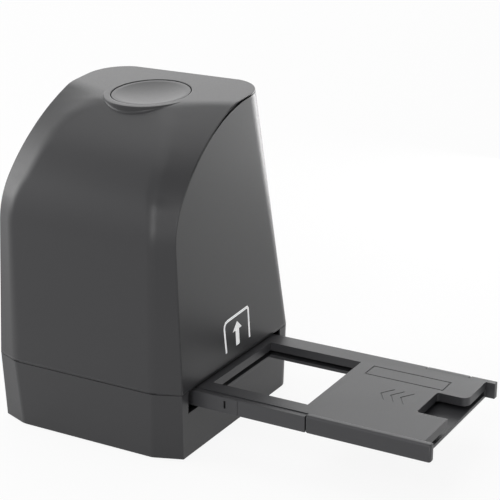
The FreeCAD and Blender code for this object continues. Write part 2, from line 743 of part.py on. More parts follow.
def main_board_screw_places():
    """Where the screws of the upright main board are, as (x, z)."""
    low = size("foot_proud") + size("base_height") + size("main_board_rise")
    x = size("main_board_half") - size("board_inset")
    rows = (low + size("board_inset"), low + size("main_board_height") - size("board_inset"))
    return [(sign * x, z) for z in rows for sign in (-1, 1)]


def screws(label, places, thread, length, head, head_height, direction):
    """A group of pan-head screws.

    Args:
        places: where the underside of each head is.
        thread: thread radius; length: below the head; head, head_height: the head's size.
        direction: the way the screws point.
    """
    solids = []
    for spot in places:
        shank = Part.makeCylinder(thread, length, spot, direction)
        cap = Part.makeCylinder(head, head_height, spot, direction * -1)
        turned = Rotation(Vector(0, 0, 1), direction)
        screw = shank.fuse(cap)
        slot = Part.makeBox(head, thread / 2, head_height, Vector(-head / 2, -thread / 4, 0))
        cross = slot.fuse(slot.rotated(Vector(0, 0, 0), Vector(0, 0, 1), 90))
        slot_floor = spot - direction * (head_height / 2 + head_height)
        cross.Placement = Placement(slot_floor, turned)
        screw = screw.cut(cross)
        solids.append(screw)
    return feature(label, Part.makeCompound(solids))


def small_screws(label, places, direction, length_alias="thread_length"):
    """A group of the small screws that hold boards and brackets."""
    return screws(label, places, size("thread_radius"), size(length_alias), size("head_radius"),
                  size("head_height"), direction)


def housing_screws():
    """The four long screws that clamp the covers to the base."""
    places = [Vector(x, y, screw_seat()) for x, y in housing_screw_places()]
    up = Vector(0, 0, 1)
    screws("housing_screws", places, size("screw_radius"), size("screw_length") - size("overrun"),
           size("screw_head"), size("screw_head_height"), up)
    low = size("foot_proud") + size("head_height")
    legs = [Vector(x, y, low) for x, y in guide_leg_places()]
    small_screws("guide_screws", legs, up)


def rubber_feet():
    """Four round feet seated in pockets of the underside."""
    feet = []
    for number, (x, y) in enumerate((("-foot_spread", "-foot_front"), ("foot_spread", "-foot_front"),
                                     ("-foot_spread", "foot_back"), ("foot_spread", "foot_back"))):
        foot = rod(f"foot_{number}", "foot_radius", x, y, "0", "foot_proud + foot_pocket")
        rounded = doc.addObject("Part::Chamfer", f"foot_{number}_edge")
        rounded.Base = foot
        doc.recompute()
        levels = [edge.CenterOfMass.z for edge in foot.Shape.Edges]
        low_edge = 1 + levels.index(min(levels))
        bevel = size("foot_proud") / 2
        rounded.Edges = [(low_edge, bevel, bevel)]
        feet.append(rounded)
    node(group("rubber_feet_group", feet), "rubber_feet")


# The tray guide, the backlight and what stands on them.


def tray_guide():
    """The channel that the tray runs in, on four legs, with a light opening through floor and roof."""
    body = new_body("tray_guide")
    plan = new_sketch(body, "guide_plan", GUIDE_LOW)
    draw_rectangle(plan, "-guide_half", "guide_half", f"-{GUIDE_OUT}", GUIDE_OUT)
    pad(body, plan, f"{GUIDE_TOP} - {GUIDE_LOW}")
    channel = new_sketch(body, "guide_channel", "-guide_half - overrun", "YZ_Plane")
    draw_rectangle(channel, f"-{GUIDE_SIDE}", GUIDE_SIDE, GUIDE_FLOOR, GUIDE_ROOF)
    run = pocket(body, channel, "2 * guide_half + 2 * overrun")
    run.Reversed = True
    gate = new_sketch(body, "guide_gate", f"{GUIDE_TOP} + overrun")
    draw_rectangle(gate, "-gate_half", "gate_half", "-gate_half", "gate_half")
    pocket(body, gate, f"{GUIDE_TOP} - {GUIDE_LOW} + 2 * overrun")
    legs = new_sketch(body, "guide_legs", FLOOR)
    leg_x = "(guide_half - leg_inset)"
    leg_y = f"({GUIDE_OUT} - leg_inset)"
    for x in (f"-{leg_x}", leg_x):
        for y in (f"-{leg_y}", leg_y):
            draw_circle(legs, x, y, "leg_radius")
    pad(body, legs, f"{GUIDE_LOW} - {FLOOR}")
    bores = new_sketch(body, "guide_bores", FLOOR)
    for x in (f"-{leg_x}", leg_x):
        for y in (f"-{leg_y}", leg_y):
            draw_circle(bores, x, y, "thread_radius + thread_gap")
    drilled = pocket(body, bores, "thread_length - wall + head_height + screw_bore_gap")
    drilled.Reversed = True
    pilots = new_sketch(body, "tunnel_pilots", GUIDE_TOP)
    corner = "(tunnel_foot + tunnel_flange / 2)"
    for x in (f"-{corner}", corner):
        for y in (f"-{corner}", corner):
            draw_circle(pilots, x, y, "thread_radius + thread_gap")
    pocket(body, pilots, "guide_plate")
    nub = new_sketch(body, "nub_window", f"{GUIDE_OUT} + overrun", "XZ_Plane")
    level = f"({TRAY_LOW} + tray_height / 2)"
    draw_rectangle(nub, "-detent_place - nub_width / 2 - screw_bore_gap",
                   "-detent_place + nub_width / 2 + screw_bore_gap",
                   f"{level} - nub_height / 2 - screw_bore_gap",
                   f"{level} + nub_height / 2 + screw_bore_gap")
    pocket(body, nub, "guide_wall + 2 * overrun")
    return body


def detent_leaf():
    """A steel leaf on the guide's near wall, with a nub that meets the tray's slit at the scanning place."""
    middle = "-detent_place"
    level = f"({TRAY_LOW} + tray_height / 2)"
    face = f"(-{GUIDE_OUT})"
    strip = block("detent_strip", f"{middle} - detent_length / 2", f"{middle} + detent_length / 2",
                  f"{face} - detent_thick", face, f"{level} - detent_height", f"{level} + detent_height")
    nub = block("detent_nub", f"{middle} - nub_width / 2", f"{middle} + nub_width / 2",
                f"{face} - detent_thick", "-tray_half - bar_proud - optic_gap",
                f"{level} - nub_height / 2", f"{level} + nub_height / 2")
    node(join("detent_leaf_join", [strip, nub]), "detent_leaf")


def backlight():
    """Backlight board, its lamps, the light box above them and the diffuser that closes it."""
    board = new_body("backlight_board")
    plan = new_sketch(board, "backlight_plan", LED_BOARD)
    half_x = "(light_box_half + led_end_margin)"
    half_y = "(light_box_half + led_edge_margin)"
    draw_rectangle(plan, f"-{half_x}", half_x, f"-{half_y}", half_y)
    pad(board, plan, "board_thick")
    lamp_low = f"({LED_BOARD} + board_thick)"
    lamps = []
    for column in (-1, 0, 1):
        for row in (-1, 0, 1):
            x = f"{column} * led_pitch"
            y = f"{row} * led_pitch"
            lamps.append(block(f"lamp_{column + 1}_{row + 1}", f"{x} - led_size / 2", f"{x} + led_size / 2",
                               f"{y} - led_size / 2", f"{y} + led_size / 2",
                               lamp_low, f"{lamp_low} + led_height"))
    node(group("backlight_lamps_group", lamps), "backlight_lamps")
    box = new_body("light_box")
    outer = new_sketch(box, "light_box_plan", lamp_low)
    draw_rectangle(outer, "-light_box_half", "light_box_half", "-light_box_half", "light_box_half")
    height = f"({GUIDE_LOW} - diffuser_thick - {lamp_low})"
    pad(box, outer, height)
    inner = new_sketch(box, "light_box_hollow", f"{lamp_low} + {height} + overrun")
    half = "(light_box_half - light_box_wall)"
    draw_rectangle(inner, f"-{half}", half, f"-{half}", half)
    pocket(box, inner, f"{height} + 2 * overrun")
    diffuser = block("diffuser_block", "-light_box_half", "light_box_half",
                     "-light_box_half", "light_box_half", f"{GUIDE_LOW} - diffuser_thick", GUIDE_LOW)
    node(diffuser, "diffuser_plate")


def square_ring(half, level):
    """A square wire around the light path."""
    corners = [Vector(x, y, level) for x, y in ((-half, -half), (half, -half), (half, half), (-half, half))]
    return Part.makePolygon(corners + corners[:1])


def optics_tunnel():
    """The black tapered tunnel between the film gate and the lens, with a flange at each end."""
    low = level_of("guide_top")
    high = low + size("tunnel_height")
    foot = size("tunnel_foot")
    neck = size("tunnel_neck")
    wall = size("tunnel_wall")
    thick = size("flange_thick")
    tunnel = Part.makeLoft([square_ring(foot, low), square_ring(neck, high)], True, True)
    flange = foot + size("tunnel_flange")
    tunnel = tunnel.fuse(Part.makeBox(2 * flange, 2 * flange, thick, Vector(-flange, -flange, low)))
    top = size("tunnel_top_half")
    tunnel = tunnel.fuse(Part.makeBox(2 * top, 2 * neck, thick, Vector(-top, -neck, high)))
    drop = size("overrun") * (foot - neck) / size("tunnel_height")
    rings = [square_ring(foot - wall + drop, low - size("overrun")), square_ring(neck - wall, high)]
    tunnel = tunnel.cut(Part.makeLoft(rings, True, True))
    hole = size("barrel_radius") + size("optic_gap")
    tunnel = tunnel.cut(pillar(hole, 0, 0, high - size("overrun"), high + thick + size("overrun")))
    bore = size("thread_radius") + size("thread_gap")
    for x, y in tunnel_screw_places():
        tunnel = tunnel.cut(pillar(bore, x, y, low - size("overrun"), low + thick + size("overrun")))
    for x in (-size("ear_place"), size("ear_place")):
        tunnel = tunnel.cut(pillar(bore, x, 0, high, high + thick + size("overrun")))
    feature("optics_tunnel", tunnel)
    places = [Vector(x, y, low + thick) for x, y in tunnel_screw_places()]
    length = thick + size("guide_plate") - size("screw_bore_gap")
    screws("tunnel_screws", places, size("thread_radius"), length, size("head_radius"),
           size("head_height"), Vector(0, 0, -1))


def level_of(name):
    """Levels above the tray guide, from the same sizes as the expressions."""
    roof = size("foot_proud") + size("base_height") - size("tray_drop") + size("run_gap")
    guide_top = roof + size("guide_plate")
    holder_low = guide_top + size("tunnel_height") + size("flange_thick")
    board = holder_low + size("holder_height")
    return {"guide_top": guide_top, "holder_low": holder_low, "sensor_board": board}[name]


def tunnel_screw_places():
    """The four corners of the tunnel's foot flange."""
    corner = size("tunnel_foot") + size("tunnel_flange") / 2
    return mirrored_places(corner, -corner, corner)


def lens_holder():
    """The holder of the lens barrel, with a screw ear at each side and a ledge for the infrared filter."""
    low = level_of("holder_low")
    high = level_of("sensor_board")
    holder = pillar(size("holder_radius"), 0, 0, low, high)
    for side in (-1, 1):
        holder = holder.fuse(pillar(size("post_radius"), side * size("ear_place"), 0, low, high))
        web = Part.makeBox(size("ear_place"), size("post_radius"), high - low,
                           Vector(0 if side > 0 else -size("ear_place"), -size("post_radius") / 2, low))
        holder = holder.fuse(web)
    ledge_top = high - size("sensor_room")
    cavity = size("barrel_radius") + size("optic_gap")
    holder = holder.cut(pillar(cavity, 0, 0, ledge_top, high + size("overrun")))
    holder = holder.cut(pillar(size("ledge_radius"), 0, 0, low, high))
    holder = holder.cut(pillar(cavity, 0, 0, low - size("overrun"), ledge_top - size("ledge_thick")))
    bore = size("thread_radius") + size("thread_gap")
    for side in (-1, 1):
        x = side * size("ear_place")
        holder = holder.cut(pillar(bore, x, 0, low - size("overrun"), high + size("overrun")))
    feature("lens_holder", holder.removeSplitter())
    places = [Vector(side * size("ear_place"), 0, high + size("board_thick")) for side in (-1, 1)]
    length = size("board_thick") + size("holder_height") + size("flange_thick") - size("screw_bore_gap")
    screws("camera_screws", places, size("thread_radius"), length, size("head_radius"), size("head_height"),
           Vector(0, 0, -1))


def lens():
    """The lens barrel, its two glass elements, the infrared filter and the image sensor."""
    flange_top = HOLDER_LOW
    low = f"({flange_top} - flange_thick - barrel_dip)"
    barrel = new_body("lens_barrel")
    plan = new_sketch(barrel, "barrel_plan", low)
    draw_circle(plan, "0", "0", "barrel_radius")
    pad(barrel, plan, "barrel_length")
    bore = new_sketch(barrel, "barrel_bore", f"{low} + barrel_length + overrun")
    draw_circle(bore, "0", "0", "bore_radius")
    pocket(barrel, bore, "barrel_length + 2 * overrun")

    radius = size("bore_radius")
    curve = size("lens_curve")
    thick = size("lens_thick")
    start = level_of("holder_low") - size("flange_thick") - size("barrel_dip") + thick / 2
    glasses = []
    for share in (0, 1):
        bottom = start + share * (size("barrel_length") - 2 * thick)
        middle = bottom + thick / 2
        glass = pillar(radius, 0, 0, bottom, bottom + thick)
        for sign in (-1, 1):
            ball = Part.makeSphere(curve, Vector(0, 0, middle + sign * (curve - thick / 2)))
            glass = glass.common(ball)
        glasses.append(glass)
    feature("lens_elements", Part.makeCompound(glasses))
    ledge = f"({SENSOR_BOARD} - sensor_room)"
    node(rod("filter_disc", "barrel_radius", "0", "0", ledge, f"{ledge} + filter_thick"), "infrared_filter")
    sensor = block("sensor_block", "-sensor_size / 2", "sensor_size / 2",
                   "-sensor_size / 2", "sensor_size / 2", f"{SENSOR_BOARD} - sensor_thick", SENSOR_BOARD)
    node(sensor, "image_sensor")
    board = new_body("sensor_board")
    plan = new_sketch(board, "sensor_board_plan", SENSOR_BOARD)
    draw_rectangle(plan, "-sensor_board_half", "sensor_board_half",
                   "-sensor_board_half", "sensor_board_half")
    pad(board, plan, "board_thick")
    holes = new_sketch(board, "sensor_board_holes", f"{SENSOR_BOARD} + board_thick")
    draw_circle(holes, "-ear_place", "0", "thread_radius + thread_gap")
    draw_circle(holes, "ear_place", "0", "thread_radius + thread_gap")
    pocket(board, holes, "board_thick + overrun")


def main_board():
    """The upright main board behind the optics, its chips and the data socket that shows at the back."""
    board = new_body("main_board")
    plan = new_sketch(board, "main_board_plan", f"-{BOARD_FACE} - board_thick", "XZ_Plane")
    low = BOARD_LOW
    high = f"({BOARD_LOW} + main_board_height)"
    draw_rectangle(plan, "-main_board_half", "main_board_half", low, high)
    pad(board, plan, "board_thick")
    holes = new_sketch(board, "main_board_holes", f"-{BOARD_FACE} - board_thick - overrun", "XZ_Plane")
    x = "(main_board_half - board_inset)"
    for z in (f"({low} + board_inset)", f"({high} - board_inset)"):
        draw_circle(holes, f"-{x}", z, "thread_radius + thread_gap")
        draw_circle(holes, x, z, "thread_radius + thread_gap")
    drilled = pocket(board, holes, "board_thick + 2 * overrun")
    drilled.Reversed = True
    face = board_face()
    places = [Vector(x, face, z) for x, z in main_board_screw_places()]
    small_screws("main_board_screws", places, Vector(0, 1, 0))
    chips = []
    middle = f"({low} + main_board_height / 2)"
    for number, (column, share) in enumerate(((-0.5, 1.0), (0.5, 0.7), (1.0, 0.4))):
        half = f"chip_size * {share} / 2"
        x = f"chip_pitch * {column}"
        chips.append(block(f"chip_{number}", f"{x} - {half}", f"{x} + {half}", f"{BOARD_FACE} - chip_height",
                           BOARD_FACE, f"{middle} - {half}", f"{middle} + {half}"))
    node(group("board_chips_group", chips), "board_chips")

    level = usb_level()
    width = size("usb_width")
    height = size("usb_height")
    start = board_face() + size("board_thick")
    back = back_at(level + height / 2 - size("foot_proud") - size("base_height"))
    length = back - size("usb_setback") - start
    wall = size("usb_wall")
    shell = Part.makeBox(width, length, height, Vector(-width / 2, start, level - height / 2))
    mouth = Part.makeBox(width - 2 * wall, length, height - 2 * wall,
                         Vector(wall - width / 2, start + 2 * wall, level - height / 2 + wall))
    feature("data_socket", shell.cut(mouth))
    tongue_width = size("tongue_width")
    tongue_height = size("tongue_height")
    tongue = Part.makeBox(tongue_width, length - 4 * wall, tongue_height,
                          Vector(-tongue_width / 2, start + 2 * wall, level - tongue_height / 2))
    feature("socket_tongue", tongue)


def flat_cable(label, left, points):
    """A flat cable folded through points in the YZ plane, as thick slabs that overlap at each fold."""
    thick = size("ribbon_thick")
    cable = None
    for start, end in zip(points, points[1:]):
        low_y = min(start[0], end[0])
        low_z = min(start[1], end[1])
        run_y = abs(start[0] - end[0]) + thick
        run_z = abs(start[1] - end[1]) + thick
        slab = Part.makeBox(size("ribbon_width"), run_y, run_z, Vector(left, low_y, low_z))
        cable = slab if cable is None else cable.fuse(slab)
    return feature(label, cable.removeSplitter())


def flat_cables():
    """The three flat cables between the boards."""
    thick = size("ribbon_thick")
    width = size("ribbon_width")
    sensor_top = level_of("sensor_board") + size("board_thick")
    landing_face = board_face() - thick
    board_low = size("foot_proud") + size("base_height") + size("main_board_rise")
    board_top = board_low + size("main_board_height")
    edge = size("sensor_board_half") - size("board_inset") / 2
    turn = size("sensor_board_half") + size("board_inset")
    landing = board_top - size("board_inset")
    flat_cable("sensor_cable", width, [(edge, sensor_top), (turn, sensor_top), (turn, landing),
                                       (landing_face, landing)])
    centre = top_centre(switch_board_depth() + size("board_thick"))
    button_low = centre.z - 2 * thick
    flat_cable("button_cable", -2 * width, [(centre.y, button_low + thick), (centre.y, button_low - thick),
                                            (landing_face, button_low - thick),
                                            (landing_face, board_top - 2 * size("board_inset"))])
    led_level = size("foot_proud") + size("wall") + size("led_board_rise") + size("board_thick")
    led_edge = size("light_box_half") + thick
    behind = size("tray_half") + size("run_gap") + size("guide_wall") + size("wall")
    board_back = board_face() + size("board_thick")
    flat_cable("backlight_cable", width + thick, [(led_edge, led_level), (behind, led_level),
                                                  (behind, board_low + size("board_inset")),
                                                  (board_back, board_low + size("board_inset"))])


# The round button and what it presses.


def switch_board_depth():
    """Depth of the button board's upper face below the flat top."""
    return size("switch_depth") + size("plunger_rise") + size("switch_height")


def on_flat_top(item):
    """Stand an object that was made around the origin on the flat top, square to it."""
    item.Placement = Placement(top_centre(), Rotation(Vector(1, 0, 0), size("top_tilt")))
    return item


def scan_button():
    """The dished round button with its stop flange and stem."""
    radius = size("button_radius")
    sink = size("button_sink")
    flange_top = size("collar_depth") + size("stop_gap")
    flange_low = flange_top + size("flange_height")
    dish = size("dish_depth")
    body = Part.makeCylinder(radius, flange_low - sink, Vector(0, 0, -flange_low))
    flange_radius = radius + size("flange_width")
    flange = Part.makeCylinder(flange_radius, size("flange_height"), Vector(0, 0, -flange_low))
    button = body.fuse(flange)
    rim = radius - size("flange_height")
    ball = (rim * rim + dish * dish) / (2 * dish)
    button = button.cut(Part.makeSphere(ball, Vector(0, 0, ball - dish - sink)))
    skin = sink + dish + size("button_skin")
    hollow = radius - size("flange_width")
    button = button.cut(Part.makeCylinder(hollow, flange_low, Vector(0, 0, -flange_low - skin)))
    stem = Part.makeCylinder(size("stem_radius"), size("switch_depth") - skin + size("button_skin") / 2,
                             Vector(0, 0, -size("switch_depth")))
    on_flat_top(feature("scan_button", button.fuse(stem).removeSplitter()))


def push_switch():
    """The push switch on its board, its plunger and the stacked ring spring that lifts the button."""
    depth = switch_board_depth()
    body_top = depth - size("switch_height")
    half = size("switch_size") / 2
    body = Part.makeBox(2 * half, 2 * half, size("switch_height"), Vector(-half, -half, -depth))
    shaft = size("plunger_radius")
    well = size("plunger_rise") + size("button_travel") + size("stop_gap")
    well_low = Vector(0, 0, -body_top - well)
    body = body.cut(Part.makeCylinder(shaft + size("optic_gap"), well + size("overrun"), well_low))
    on_flat_top(feature("push_switch", body))
    plunger_low = Vector(0, 0, -body_top - size("plunger_rise"))
    plunger = Part.makeCylinder(shaft, 2 * size("plunger_rise"), plunger_low)
    on_flat_top(feature("switch_plunger", plunger))
    half_x = size("button_board_half")
    half_y = size("button_board_width") / 2
    board = Part.makeBox(2 * half_x, 2 * half_y, size("board_thick"),
                         Vector(-half_x, -half_y, -depth - size("board_thick")))
    bore = size("thread_radius") + size("thread_gap")
    spots = []
    for side in (-1, 1):
        x = side * size("button_post_place")
        low = Vector(x, 0, -depth - size("board_thick") - size("overrun"))
        board = board.cut(Part.makeCylinder(bore, size("board_thick") + 2 * size("overrun"), low))
        spots.append(Vector(x, 0, -depth - size("board_thick")))
    on_flat_top(feature("button_board", board))
    on_flat_top(small_screws("button_board_screws", spots, Vector(0, 0, 1)))
    wire = size("spring_wire") / 2
    skin = size("button_sink") + size("dish_depth") + size("button_skin")
    high = skin + wire + size("optic_gap")
    low = depth - wire - size("optic_gap")
    turns = round(size("spring_turns"))
    pitch = (low - high) / (turns - 1)
    inner = size("spring_radius") - wire
    spring = None
    for turn in range(turns):
        foot = Vector(0, 0, turn * pitch - low - wire)
        ring = Part.makeCylinder(inner + 2 * wire, 2 * wire, foot)
        ring = ring.cut(Part.makeCylinder(inner, 2 * wire, foot))
        if spring is None:
            spring = ring
            continue
        side = size("spring_radius") * (-1) ** turn
        corner = Vector(side - wire / 2, -wire / 2, foot.z - pitch + wire)
        spring = spring.fuse(Part.makeBox(wire, wire, pitch, corner)).fuse(ring)
    on_flat_top(feature("button_spring", spring))


# The film tray.


def tray_body():
    """The tray's lower half: a floor with the window, and a low wall along each side."""
    body = new_body("tray_body")
    plan = new_sketch(body, "tray_plan", TRAY_LOW)
    draw_rectangle(plan, PLATE_LEFT, PLATE_RIGHT, "-tray_half", "tray_half")
    pad(body, plan, "tray_floor")
    top = f"({TRAY_TOP} - cover_proud)"
    near = new_sketch(body, "tray_near_wall", TRAY_LOW)
    bar_start = f"({TRAY_RIGHT} - bar_length - bar_gap)"
    draw_rectangle(near, TRAY_LEFT, bar_start, "-tray_half", "tray_wall - tray_half")
    pad(body, near, f"{top} - {TRAY_LOW}")
    far = new_sketch(body, "tray_far_wall", TRAY_LOW)
    clip_start = f"({TRAY_RIGHT} - far_clip_place - far_clip_length - bar_gap)"
    draw_rectangle(far, TRAY_LEFT, clip_start, "tray_half - tray_wall", "tray_half")
    pad(body, far, f"{top} - {TRAY_LOW}")
    end = new_sketch(body, "tray_far_end", TRAY_LOW)
    end_start = f"({TRAY_RIGHT} - far_clip_place + bar_gap)"
    draw_rectangle(end, end_start, TRAY_RIGHT, "tray_half - tray_wall", "tray_half")
    pad(body, end, f"{top} - {TRAY_LOW}")
    ledges = new_sketch(body, "tray_ledges", TRAY_LOW)
    inner = "(tray_half - tray_wall - cover_ledge)"
    draw_rectangle(ledges, PLATE_LEFT, PLATE_RIGHT, inner, "tray_half - tray_wall")
    draw_rectangle(ledges, PLATE_LEFT, PLATE_RIGHT, "tray_wall - tray_half", f"-{inner}")
    pad(body, ledges, f"{COVER_LOW} - {TRAY_LOW}")
    window = new_sketch(body, "tray_window", f"{TRAY_LOW} + tray_floor + overrun")
    window_left = "(window_place - window_length / 2)"
    window_right = "(window_place + window_length / 2)"
    draw_rectangle(window, window_left, window_right, "-window_half", "window_half")
    pocket(body, window, "tray_floor + 2 * overrun")
    for name, start, end, low, high in (
            ("near_recess", bar_start, f"{PLATE_RIGHT} + overrun",
             "-tray_half - overrun", "tray_wall - tray_half"),
            ("far_recess", clip_start, end_start, "tray_half - tray_wall", "tray_half + overrun")):
        recess = new_sketch(body, name, f"{TRAY_LOW} + tray_floor + overrun")
        draw_rectangle(recess, start, end, low, high)
        pocket(body, recess, "tray_floor + 2 * overrun")
    slit = new_sketch(body, "detent_slit", "tray_half + overrun", "XZ_Plane")
    middle = "(window_place - detent_place)"
    level = f"({TRAY_LOW} + tray_height / 2)"
    draw_rectangle(slit, f"{middle} - detent_width / 2", f"{middle} + detent_width / 2",
                   f"{level} - detent_height / 2", f"{level} + detent_height / 2")
    pocket(body, slit, "overrun + tray_wall / 2")
    step = new_sketch(body, "wall_step", "tray_half + overrun", "XZ_Plane")
    step_at = "(window_place - step_place)"
    draw_rectangle(step, f"{step_at} - line_width / 2", f"{step_at} + line_width / 2", TRAY_LOW,
                   f"{top} + overrun")
    pocket(body, step, "overrun + step_depth")
    return body


def tray_cover():
    """The tray's upper half: a plate with a skirt around the window, a finger notch and engraved marks."""
    body = new_body("tray_cover")
    half = "(tray_half - tray_wall - cover_joint)"
    plan = new_sketch(body, "cover_plan", COVER_LOW)
    draw_rectangle(plan, PLATE_LEFT, PLATE_RIGHT, f"-{half}", half)
    pad(body, plan, f"{TRAY_TOP} - {COVER_LOW}")
    window_left = "(window_place - window_length / 2)"
    window_right = "(window_place + window_length / 2)"
    window = new_sketch(body, "cover_window", f"{TRAY_TOP} + overrun")
    draw_rectangle(window, window_left, window_right, "-window_half", "window_half")
    pocket(body, window, "tray_height")
    notch = new_sketch(body, "finger_notch", f"{TRAY_TOP} + overrun")
    draw_rectangle(notch, f"{PLATE_RIGHT} - notch_length", f"{PLATE_RIGHT} + overrun",
                   "-notch_near", "notch_far")
    pocket(body, notch, "tray_height")
    skirt = "cover_skirt"
    rooms = new_sketch(body, "cover_rooms", COVER_LOW)
    inner = f"({half} - {skirt})"
    draw_rectangle(rooms, f"{window_right} + {skirt}", f"{PLATE_RIGHT} - notch_length - {skirt}",
                   f"-{inner}", inner)
    draw_rectangle(rooms, f"{PLATE_LEFT} + {skirt}", f"{window_left} - {skirt}", f"-{inner}", inner)
    hollow = pocket(body, rooms, f"{TRAY_TOP} - {COVER_LOW} - cover_plate")
    hollow.Reversed = True
    panel = new_sketch(body, "engraved_panel", TRAY_TOP)
    left = f"({window_right} + panel_start)"
    right = f"({window_right} + panel_start + panel_length)"
    low = "(panel_offset - panel_width / 2)"
    high = "(panel_offset + panel_width / 2)"
    draw_rectangle(panel, left, right, low, high)
    draw_rectangle(panel, f"{left} + line_width", f"{right} - line_width", f"{low} + line_width",
                   f"{high} - line_width")
    pocket(body, panel, "step_depth")
    arrows = new_sketch(body, "engraved_arrows", TRAY_TOP)
    for number in (-1, 0, 1):
        tip = f"(window_place + arrow_place - arrow_length / 2 + {number} * arrow_pitch)"
        wing = f"({tip} + arrow_length)"
        draw_outline(arrows, [(tip, "0"), (wing, "-arrow_width / 2"),
                              (f"{wing} + line_width", "-arrow_width / 2"), (f"{tip} + line_width", "0"),
                              (f"{wing} + line_width", "arrow_width / 2"),
                              (wing, "arrow_width / 2")])
    pocket(body, arrows, "step_depth")
    return body


def rounded_bar(label, length, width, height, corner, rounding, proud_edges):
    """A bar with its upper outer edges and its ends rounded."""
    bar = Part.makeBox(length, width, height, corner)
    edges = [edge for edge in bar.Edges if proud_edges(edge.CenterOfMass)]
    return feature(label, bar.makeFillet(rounding, edges))


def clip_bars():
    """The long clip bar at the tray's near side and the short clip at its far side."""
    right = size("window_place") + size("tray_reach")
    top = size("foot_proud") + size("base_height") - size("tray_drop")
    low = top - size("tray_height")
    proud = size("bar_proud")
    width = size("tray_wall") + proud
    left = right - size("bar_length")
    front = -size("tray_half") - proud
    high = top + proud
    rounding = size("bar_round")

    def shows(middle):
        """Whether a bar's edge is an upright or upper one on its outer side."""
        outer = middle.y < front + rounding / 2
        upright = low + rounding < middle.z < high - rounding
        upper = middle.z > high - rounding / 2
        return outer and (upright or upper)

    corner = Vector(left, front, low)
    rounded_bar("near_clip_bar", size("bar_length"), width, high - low, corner, rounding, shows)
    clip_right = right - size("far_clip_place")
    clip_left = clip_right - size("far_clip_length")
    back = size("tray_half") - size("tray_wall")
    clip_high = top - size("cover_proud") / 2
    clip = Part.makeBox(size("far_clip_length"), size("tray_wall"), clip_high - low,
                        Vector(clip_left, back, low))
    feature("far_clip", clip)


def main():
    """Build every sub-part, check it and write it."""
    base_shell()
    covers()
    rubber_feet()
    housing_screws()
    tray_guide()
    detent_leaf()
    backlight()
    optics_tunnel()
    lens_holder()
    lens()
    main_board()
    flat_cables()
    scan_button()
    push_switch()
    tray_body()
    tray_cover()
    clip_bars()
    doc.recompute()
    os.makedirs("parts", exist_ok=True)
    for item in doc.Objects:
        faults = [state for state in item.State if state in ("Invalid", "Error")]
        if faults:
            raise RuntimeError(f"{item.Name} did not compute: {faults}")
    for item in NODES:
        shape = item.Shape
        if shape.isNull() or not shape.isValid() or not shape.Solids:
            raise RuntimeError(f"{item.Label} has no valid solid")
    for item in NODES:
        item.Shape.exportStep(f"parts/{item.Label}.step")
        box = item.Shape.BoundBox
        print(f"{item.Label:22s} solids {len(item.Shape.Solids)}  x {box.XMin:.1f} {box.XMax:.1f}  "
              f"y {box.YMin:.1f} {box.YMax:.1f}  z {box.ZMin:.1f} {box.ZMax:.1f}")


main()
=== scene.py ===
"""Looks of a desktop film and slide scanner with its film tray pulled out to one side.

Every size is in millimetres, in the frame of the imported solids: +X is the way the tray comes out, -Y is
the curved front, +Z is up, and the floor is at zero. Meshes are scaled to metres when they are finished.
Only the softboxes and the floor sheet are given in metres.
"""

import enum
import json
import logging
import math
from collections.abc import Callable, Iterable
from dataclasses import dataclass, field
from functools import partial

import bmesh
import bpy
from mathutils import Matrix, Vector

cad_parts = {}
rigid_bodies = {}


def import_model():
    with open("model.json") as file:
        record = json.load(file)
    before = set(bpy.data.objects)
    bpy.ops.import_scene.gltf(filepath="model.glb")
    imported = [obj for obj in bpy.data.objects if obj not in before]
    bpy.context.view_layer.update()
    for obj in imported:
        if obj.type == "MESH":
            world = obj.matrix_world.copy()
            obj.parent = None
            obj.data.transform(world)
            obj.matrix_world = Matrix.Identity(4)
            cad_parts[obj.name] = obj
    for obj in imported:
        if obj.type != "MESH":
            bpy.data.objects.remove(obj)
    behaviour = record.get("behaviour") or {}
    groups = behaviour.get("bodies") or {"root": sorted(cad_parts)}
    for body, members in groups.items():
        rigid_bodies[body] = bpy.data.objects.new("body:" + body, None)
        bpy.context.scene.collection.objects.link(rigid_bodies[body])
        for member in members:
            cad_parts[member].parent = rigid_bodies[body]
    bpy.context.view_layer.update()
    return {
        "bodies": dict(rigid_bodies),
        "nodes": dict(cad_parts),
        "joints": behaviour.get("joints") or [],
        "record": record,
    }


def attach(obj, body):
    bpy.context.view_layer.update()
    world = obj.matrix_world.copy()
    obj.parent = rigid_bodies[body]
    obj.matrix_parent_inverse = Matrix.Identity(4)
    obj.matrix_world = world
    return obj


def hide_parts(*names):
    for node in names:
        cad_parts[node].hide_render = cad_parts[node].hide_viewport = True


MM = 0.001
SMOOTH_ANGLE = math.radians(50)
FLAT_ANGLE = math.radians(1)
JOIN_DISTANCE = 0.002
LOG = logging.getLogger("film_scanner")

Value = bpy.types.NodeSocket | float | tuple[float, ...]
Outline = tuple[tuple[float, float], ...]


class Body(enum.Enum):
    """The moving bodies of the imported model."""

    HOUSING = "housing"
    TRAY = "tray"
    BUTTON = "button"


class Side(enum.IntEnum):
    """The two sides of the housing."""

    LEFT = -1
    RIGHT = 1


class MixKind(enum.Enum):
    """What a mix node mixes: its data type, the places of its two inputs, and that of its output."""

    NUMBER = ("FLOAT", 2, 3, 0)
    COLOUR = ("RGBA", 6, 7, 2)


# Finishes


